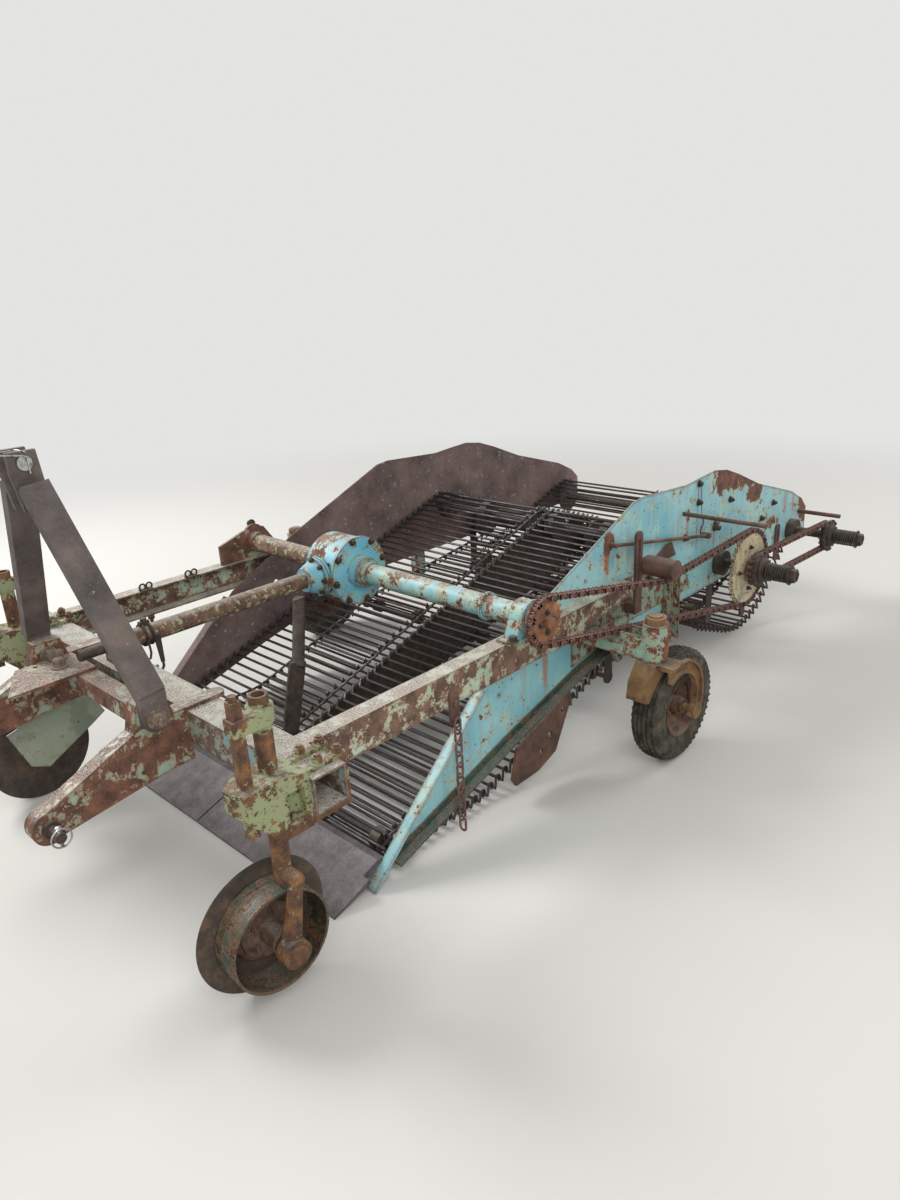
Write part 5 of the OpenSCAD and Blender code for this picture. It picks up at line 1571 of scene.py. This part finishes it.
@dataclass
class Fasteners:
    """Bolts and nuts: tables of places in millimetres with the direction they face.

    Attributes:
        brackets: bolts of both castor brackets, as x, distance from the middle, and z.
        plate: bolts of the left side plate, as x and z.
    """

    brackets: tuple[Triple, ...] = ((1700, 721, 545), (1847, 727, 440), (1847, 727, 515), (1847, 727, 300))
    plate: tuple[tuple[float, float], ...] = ((2085, 846), (2085, 768), (2240, 640), (2370, 720), (1140, 470),
                                              (1985, 640), (2700, 560), (2820, 610))

    def groups(self) -> list[tuple[str, float, Coat, list[Seat]]]:
        """Set out the groups of fasteners.

        Returns:
            Each group's name, width across the flats, finish and seats.
        """
        (cross_x, cross_z), (front_x, front_z), (input_y, input_z) = CROSS_SHAFT, FRONT_SHAFT, INPUT_SHAFT
        seat, circle = Seat.facing, Seat.circle
        legs = [seat((-200, side * 382.6, 625), (0, side, 0), 1) for side in (-1, 1)]
        legs += [seat((-200, side * 309.8, 625), (0, -side, 0)) for side in (-1, 1)]
        legs += [seat((-205, 220, 610), UP), seat((-180, 290, 610), UP)]
        plates = [seat((x, side * y, z), (0, side, 0), 1) for side in (-1, 1) for x, y, z in self.brackets]
        plates += [seat((x, SIDE_FACE - 1, z), LEFT, i % 2) for i, (x, z) in enumerate(self.plate)]
        return [
            ("gearbox_cap_bolts", 17, Coat.DARK_STEEL, circle((cross_x, 35, cross_z), 120, LEFT, 8, start=0.2)),
            ("input_flange_bolts", 15, Coat.DARK_STEEL, circle((723, input_y, input_z), 67, FRONT, 8)
             + circle((749, input_y, input_z), 67, REAR, 8)),
            ("headstock_bolts", 34, Coat.WORN_BOLT, legs),
            ("bearing_bolts", 24, Coat.DARK_STEEL, [seat((x, -790, 610), UP) for x in (788, 964)]
             + [seat((x, 739, z), RIGHT) for x, z in ((745, 625), (1000, 620), (876, 742))]),
            ("coulter_clamp_nuts", 24, Coat.COULTER_RUST, [seat((x, y, 612), UP, 1) for middle in (-850, 660)
                                                           for x in (-56, 4) for y in (middle - 34, middle + 34)]),
            ("side_plate_bolts", 19, Coat.DARK_STEEL, plates),
            ("sprocket_bolts", 13, Coat.DARK_STEEL, circle((front_x, -857, front_z), 92, LEFT, 4, 1)
             + circle((cross_x, -857, cross_z), 34, LEFT, 4)),
        ]

    def build(self) -> None:
        """Set every group of fasteners."""
        for name, across, coat, seats in self.groups():
            BoltGrowth(name + "_growth", across).grow(name, seats, "frame", coat)


@dataclass
class HitchPins:
    """The bright linch pins of the lower links and the wire clip of the top link pin, in millimetres."""

    wire: float = 4.5
    pin_x: float = -512.0
    pin_z: float = 440.0
    hole_y: float = 418.3

    def build(self) -> None:
        """Bend the rings and stand the pins in their holes."""
        pins = Workpiece()
        for side in (-1, 1):
            y = side * self.hole_y
            pins.collar(Axis((self.pin_x, y, self.pin_z - 24), UP), 0, [(0, 5), (44, 5), (47, 8), (54, 8), (56, 5)], 20)
            pins.sweep(ring_path((self.pin_x, y + side * 9, self.pin_z + 3), (0, 0, 25), (25, 0, 0), 28),
                       self.wire / 2, closed=True)
        pins.hand_over("linch_pins", "frame", Coat.PIN_STEEL)
        clip = Workpiece()
        clip.sweep(self.clip_path(), self.wire / 2)
        clip.hand_over("top_pin_clip", "frame", Coat.PIN_STEEL)

    @staticmethod
    def clip_path() -> list[Vector]:
        """Lead the clip's wire over the near cheek, round its corners.

        Returns:
            The path's points in metres.
        """
        corners = [at(*corner) for corner in ((-262, -58, 1262), (-262, -58, 1308), (-322, -46, 1317),
                                              (-322, 14, 1317), (-262, 14, 1317), (-262, -50, 1317))]
        path = corners[:1]
        for before, here, after in zip(corners, corners[1:], corners[2:]):
            a, b = here.lerp(before, 0.22), here.lerp(after, 0.22)
            path += [a.lerp(here, t).lerp(here.lerp(b, t), t) for t in (0.0, 0.25, 0.5, 0.75, 1.0)]
        return path + corners[-1:]


@dataclass
class HangingChain:
    """The short chain on the near beam: its strap, ring bolt and welded links, in millimetres."""

    x: float = 523.0
    y: float = -789.3
    top: float = 424.0
    pitch: float = 38.0
    links: int = 10

    def build(self) -> None:
        """Make the strap and hang the links from it."""
        strap = Workpiece()
        strap.plate((0, 9.6, 0), *((self.x + x, self.y + 6, z) for x, z in (
            (-18, 436), (-12, 430), (12, 430), (18, 436), (18, 534), (12, 540), (-12, 540), (-18, 534))))
        strap.sweep(ring_path((self.x, self.y + 1, 440), (0, 0, 15), (13, 0, 0), 20), 4.0, closed=True)
        strap.collar(Axis((self.x, self.y + 7, 500), LEFT), 0, [(0, 12), (8, 12), (11, 9)], 6)
        strap.hand_over("chain_strap", "frame", Coat.FRAME_RUST, "hanging_chain")
        growth = RingLinkGrowth("welded_link_growth", {"Length": self.pitch + 13, "Width": 24, "Wire": 8.0})
        turns = (Matrix.Identity(3), Matrix.Rotation(math.pi / 2, 3, "Z"))
        seats = [Seat(at(self.x, self.y, self.top - i * self.pitch + 4), turns[i % 2]) for i in range(self.links)]
        growth.grow("welded_links", seats, "frame", Coat.CHAIN_STEEL)


@dataclass
class SmallFittings:
    """What hangs on the frame: ringed brackets, the hook at the input tube, a bent wire, the side plate's seam."""

    ring_r: float = 12.0
    wire: float = 6.0
    beam_y: float = 713.0
    beam_top: float = 600.0
    tube_r: float = 34.0

    def build(self) -> None:
        """Make each group of fittings."""
        piece = Workpiece()
        for x in (345.0, 545.0):
            self.ringed_bracket(piece, x)
        # End of the bracket's bolt under the beam, with its nut
        below = Axis((345, self.beam_y, 492), (0, 0, -1))
        piece.collar(below, 0, [(0, 7), (62, 7), (64, 5)], 14)
        piece.collar(below, 7, [(0, 14), (12, 14)], 6)
        self.tube_clamp(piece)
        piece.hand_over("frame_fittings", "frame", Coat.DARK_STEEL)
        piece = Workpiece()
        # Welded seam of the side plate, and the bent wire that hooks over the tension rod
        piece.plate((0, -1.6, 0), *((x, SIDE_FACE, z) for x, z in ((2103, 842), (2108, 842), (2124, 690), (2119, 690))))
        piece.bend(self.wire / 2, (2122, -713, 700), (2122, -720, 688), (2112, -727, 676), (2090, -731, 664),
                   (2078, -733, 648), (2076, -735, 634), (2082, -738, 622))
        piece.collar(Axis((2237, SIDE_FACE, 626), LEFT), 0, [(0, 17), (6, 17), (9, 13), (26, 12), (30, 9)], 20)
        piece.hand_over("side_plate_fittings", "frame", Coat.DARK_STEEL)

    def ringed_bracket(self, piece: Workpiece, x: float) -> None:
        """Stand two rings on a small plate on top of the beam.

        Args:
            piece: gets the bracket.
            x: its place.
        """
        y, z, r = self.beam_y, self.beam_top, self.ring_r
        piece.plate((0, 0, 5), (x - 26, y - 14, z), (x + 26, y - 14, z), (x + 26, y + 14, z), (x - 26, y + 14, z))
        for shift in (-14.0, 14.0):
            ring = ring_path((x + shift, y, z + 4 + r), (r, 0, 0), (0, 0, r), 20)
            piece.sweep(ring, self.wire / 2 + 0.8, closed=True)

    def tube_clamp(self, piece: Workpiece) -> None:
        """Close a ring round the input tube, with its bolt on top and a strap with a hook below.

        Args:
            piece: gets the clamp.
        """
        for x in (30.0, 52.0):
            ring = ring_path((x, *INPUT_SHAFT), (0, self.tube_r, 0), (0, 0, self.tube_r), 32)
            piece.sweep(ring, 5.0, closed=True)
        piece.plate((0, 0, 16), (24, 112, 692), (58, 112, 692), (58, 128, 692), (24, 128, 692))
        piece.collar(Axis((41, 120, 708), UP), 0, [(0, 11), (9, 11), (11, 8)], 6)
        piece.plate((0, 6, 0), (50, 82, 664), (72, 82, 664), (72, 82, 566), (60, 82, 566))
        # The hook, and the shackle beside it
        piece.bend(4.5, (66, 85, 568), (66, 85, 552), (60, 85, 543), (50, 85, 543), (44, 85, 551), (44, 85, 562))
        piece.bend(4.0, (30, 87, 655), (30, 80, 612), (24, 78, 596), (14, 78, 592), (6, 80, 602), (4, 84, 622))


def main() -> None:
    """Build the studio and every sub-assembly in order."""
    Studio().build()
    dress_cad_nodes()
    RodWebs().build()
    RollerChains().build()
    SlipClutch("front_clutch", FRONT_SHAFT).build()
    SlipClutch("rear_clutch", REAR_SHAFT).build()
    for hand, side in (("left", -1), ("right", 1)):
        CastorWheel(hand, side * 1000.0).build()
    CoulterDisc("left", -1, -785.0).build()
    CoulterDisc("right", 1, 595.0).build()
    Fasteners().build()
    HitchPins().build()
    HangingChain().build()
    SmallFittings().build()


if __name__ == "__main__":
    logging.basicConfig(level=logging.INFO, format="%(name)s: %(message)s")
    main()
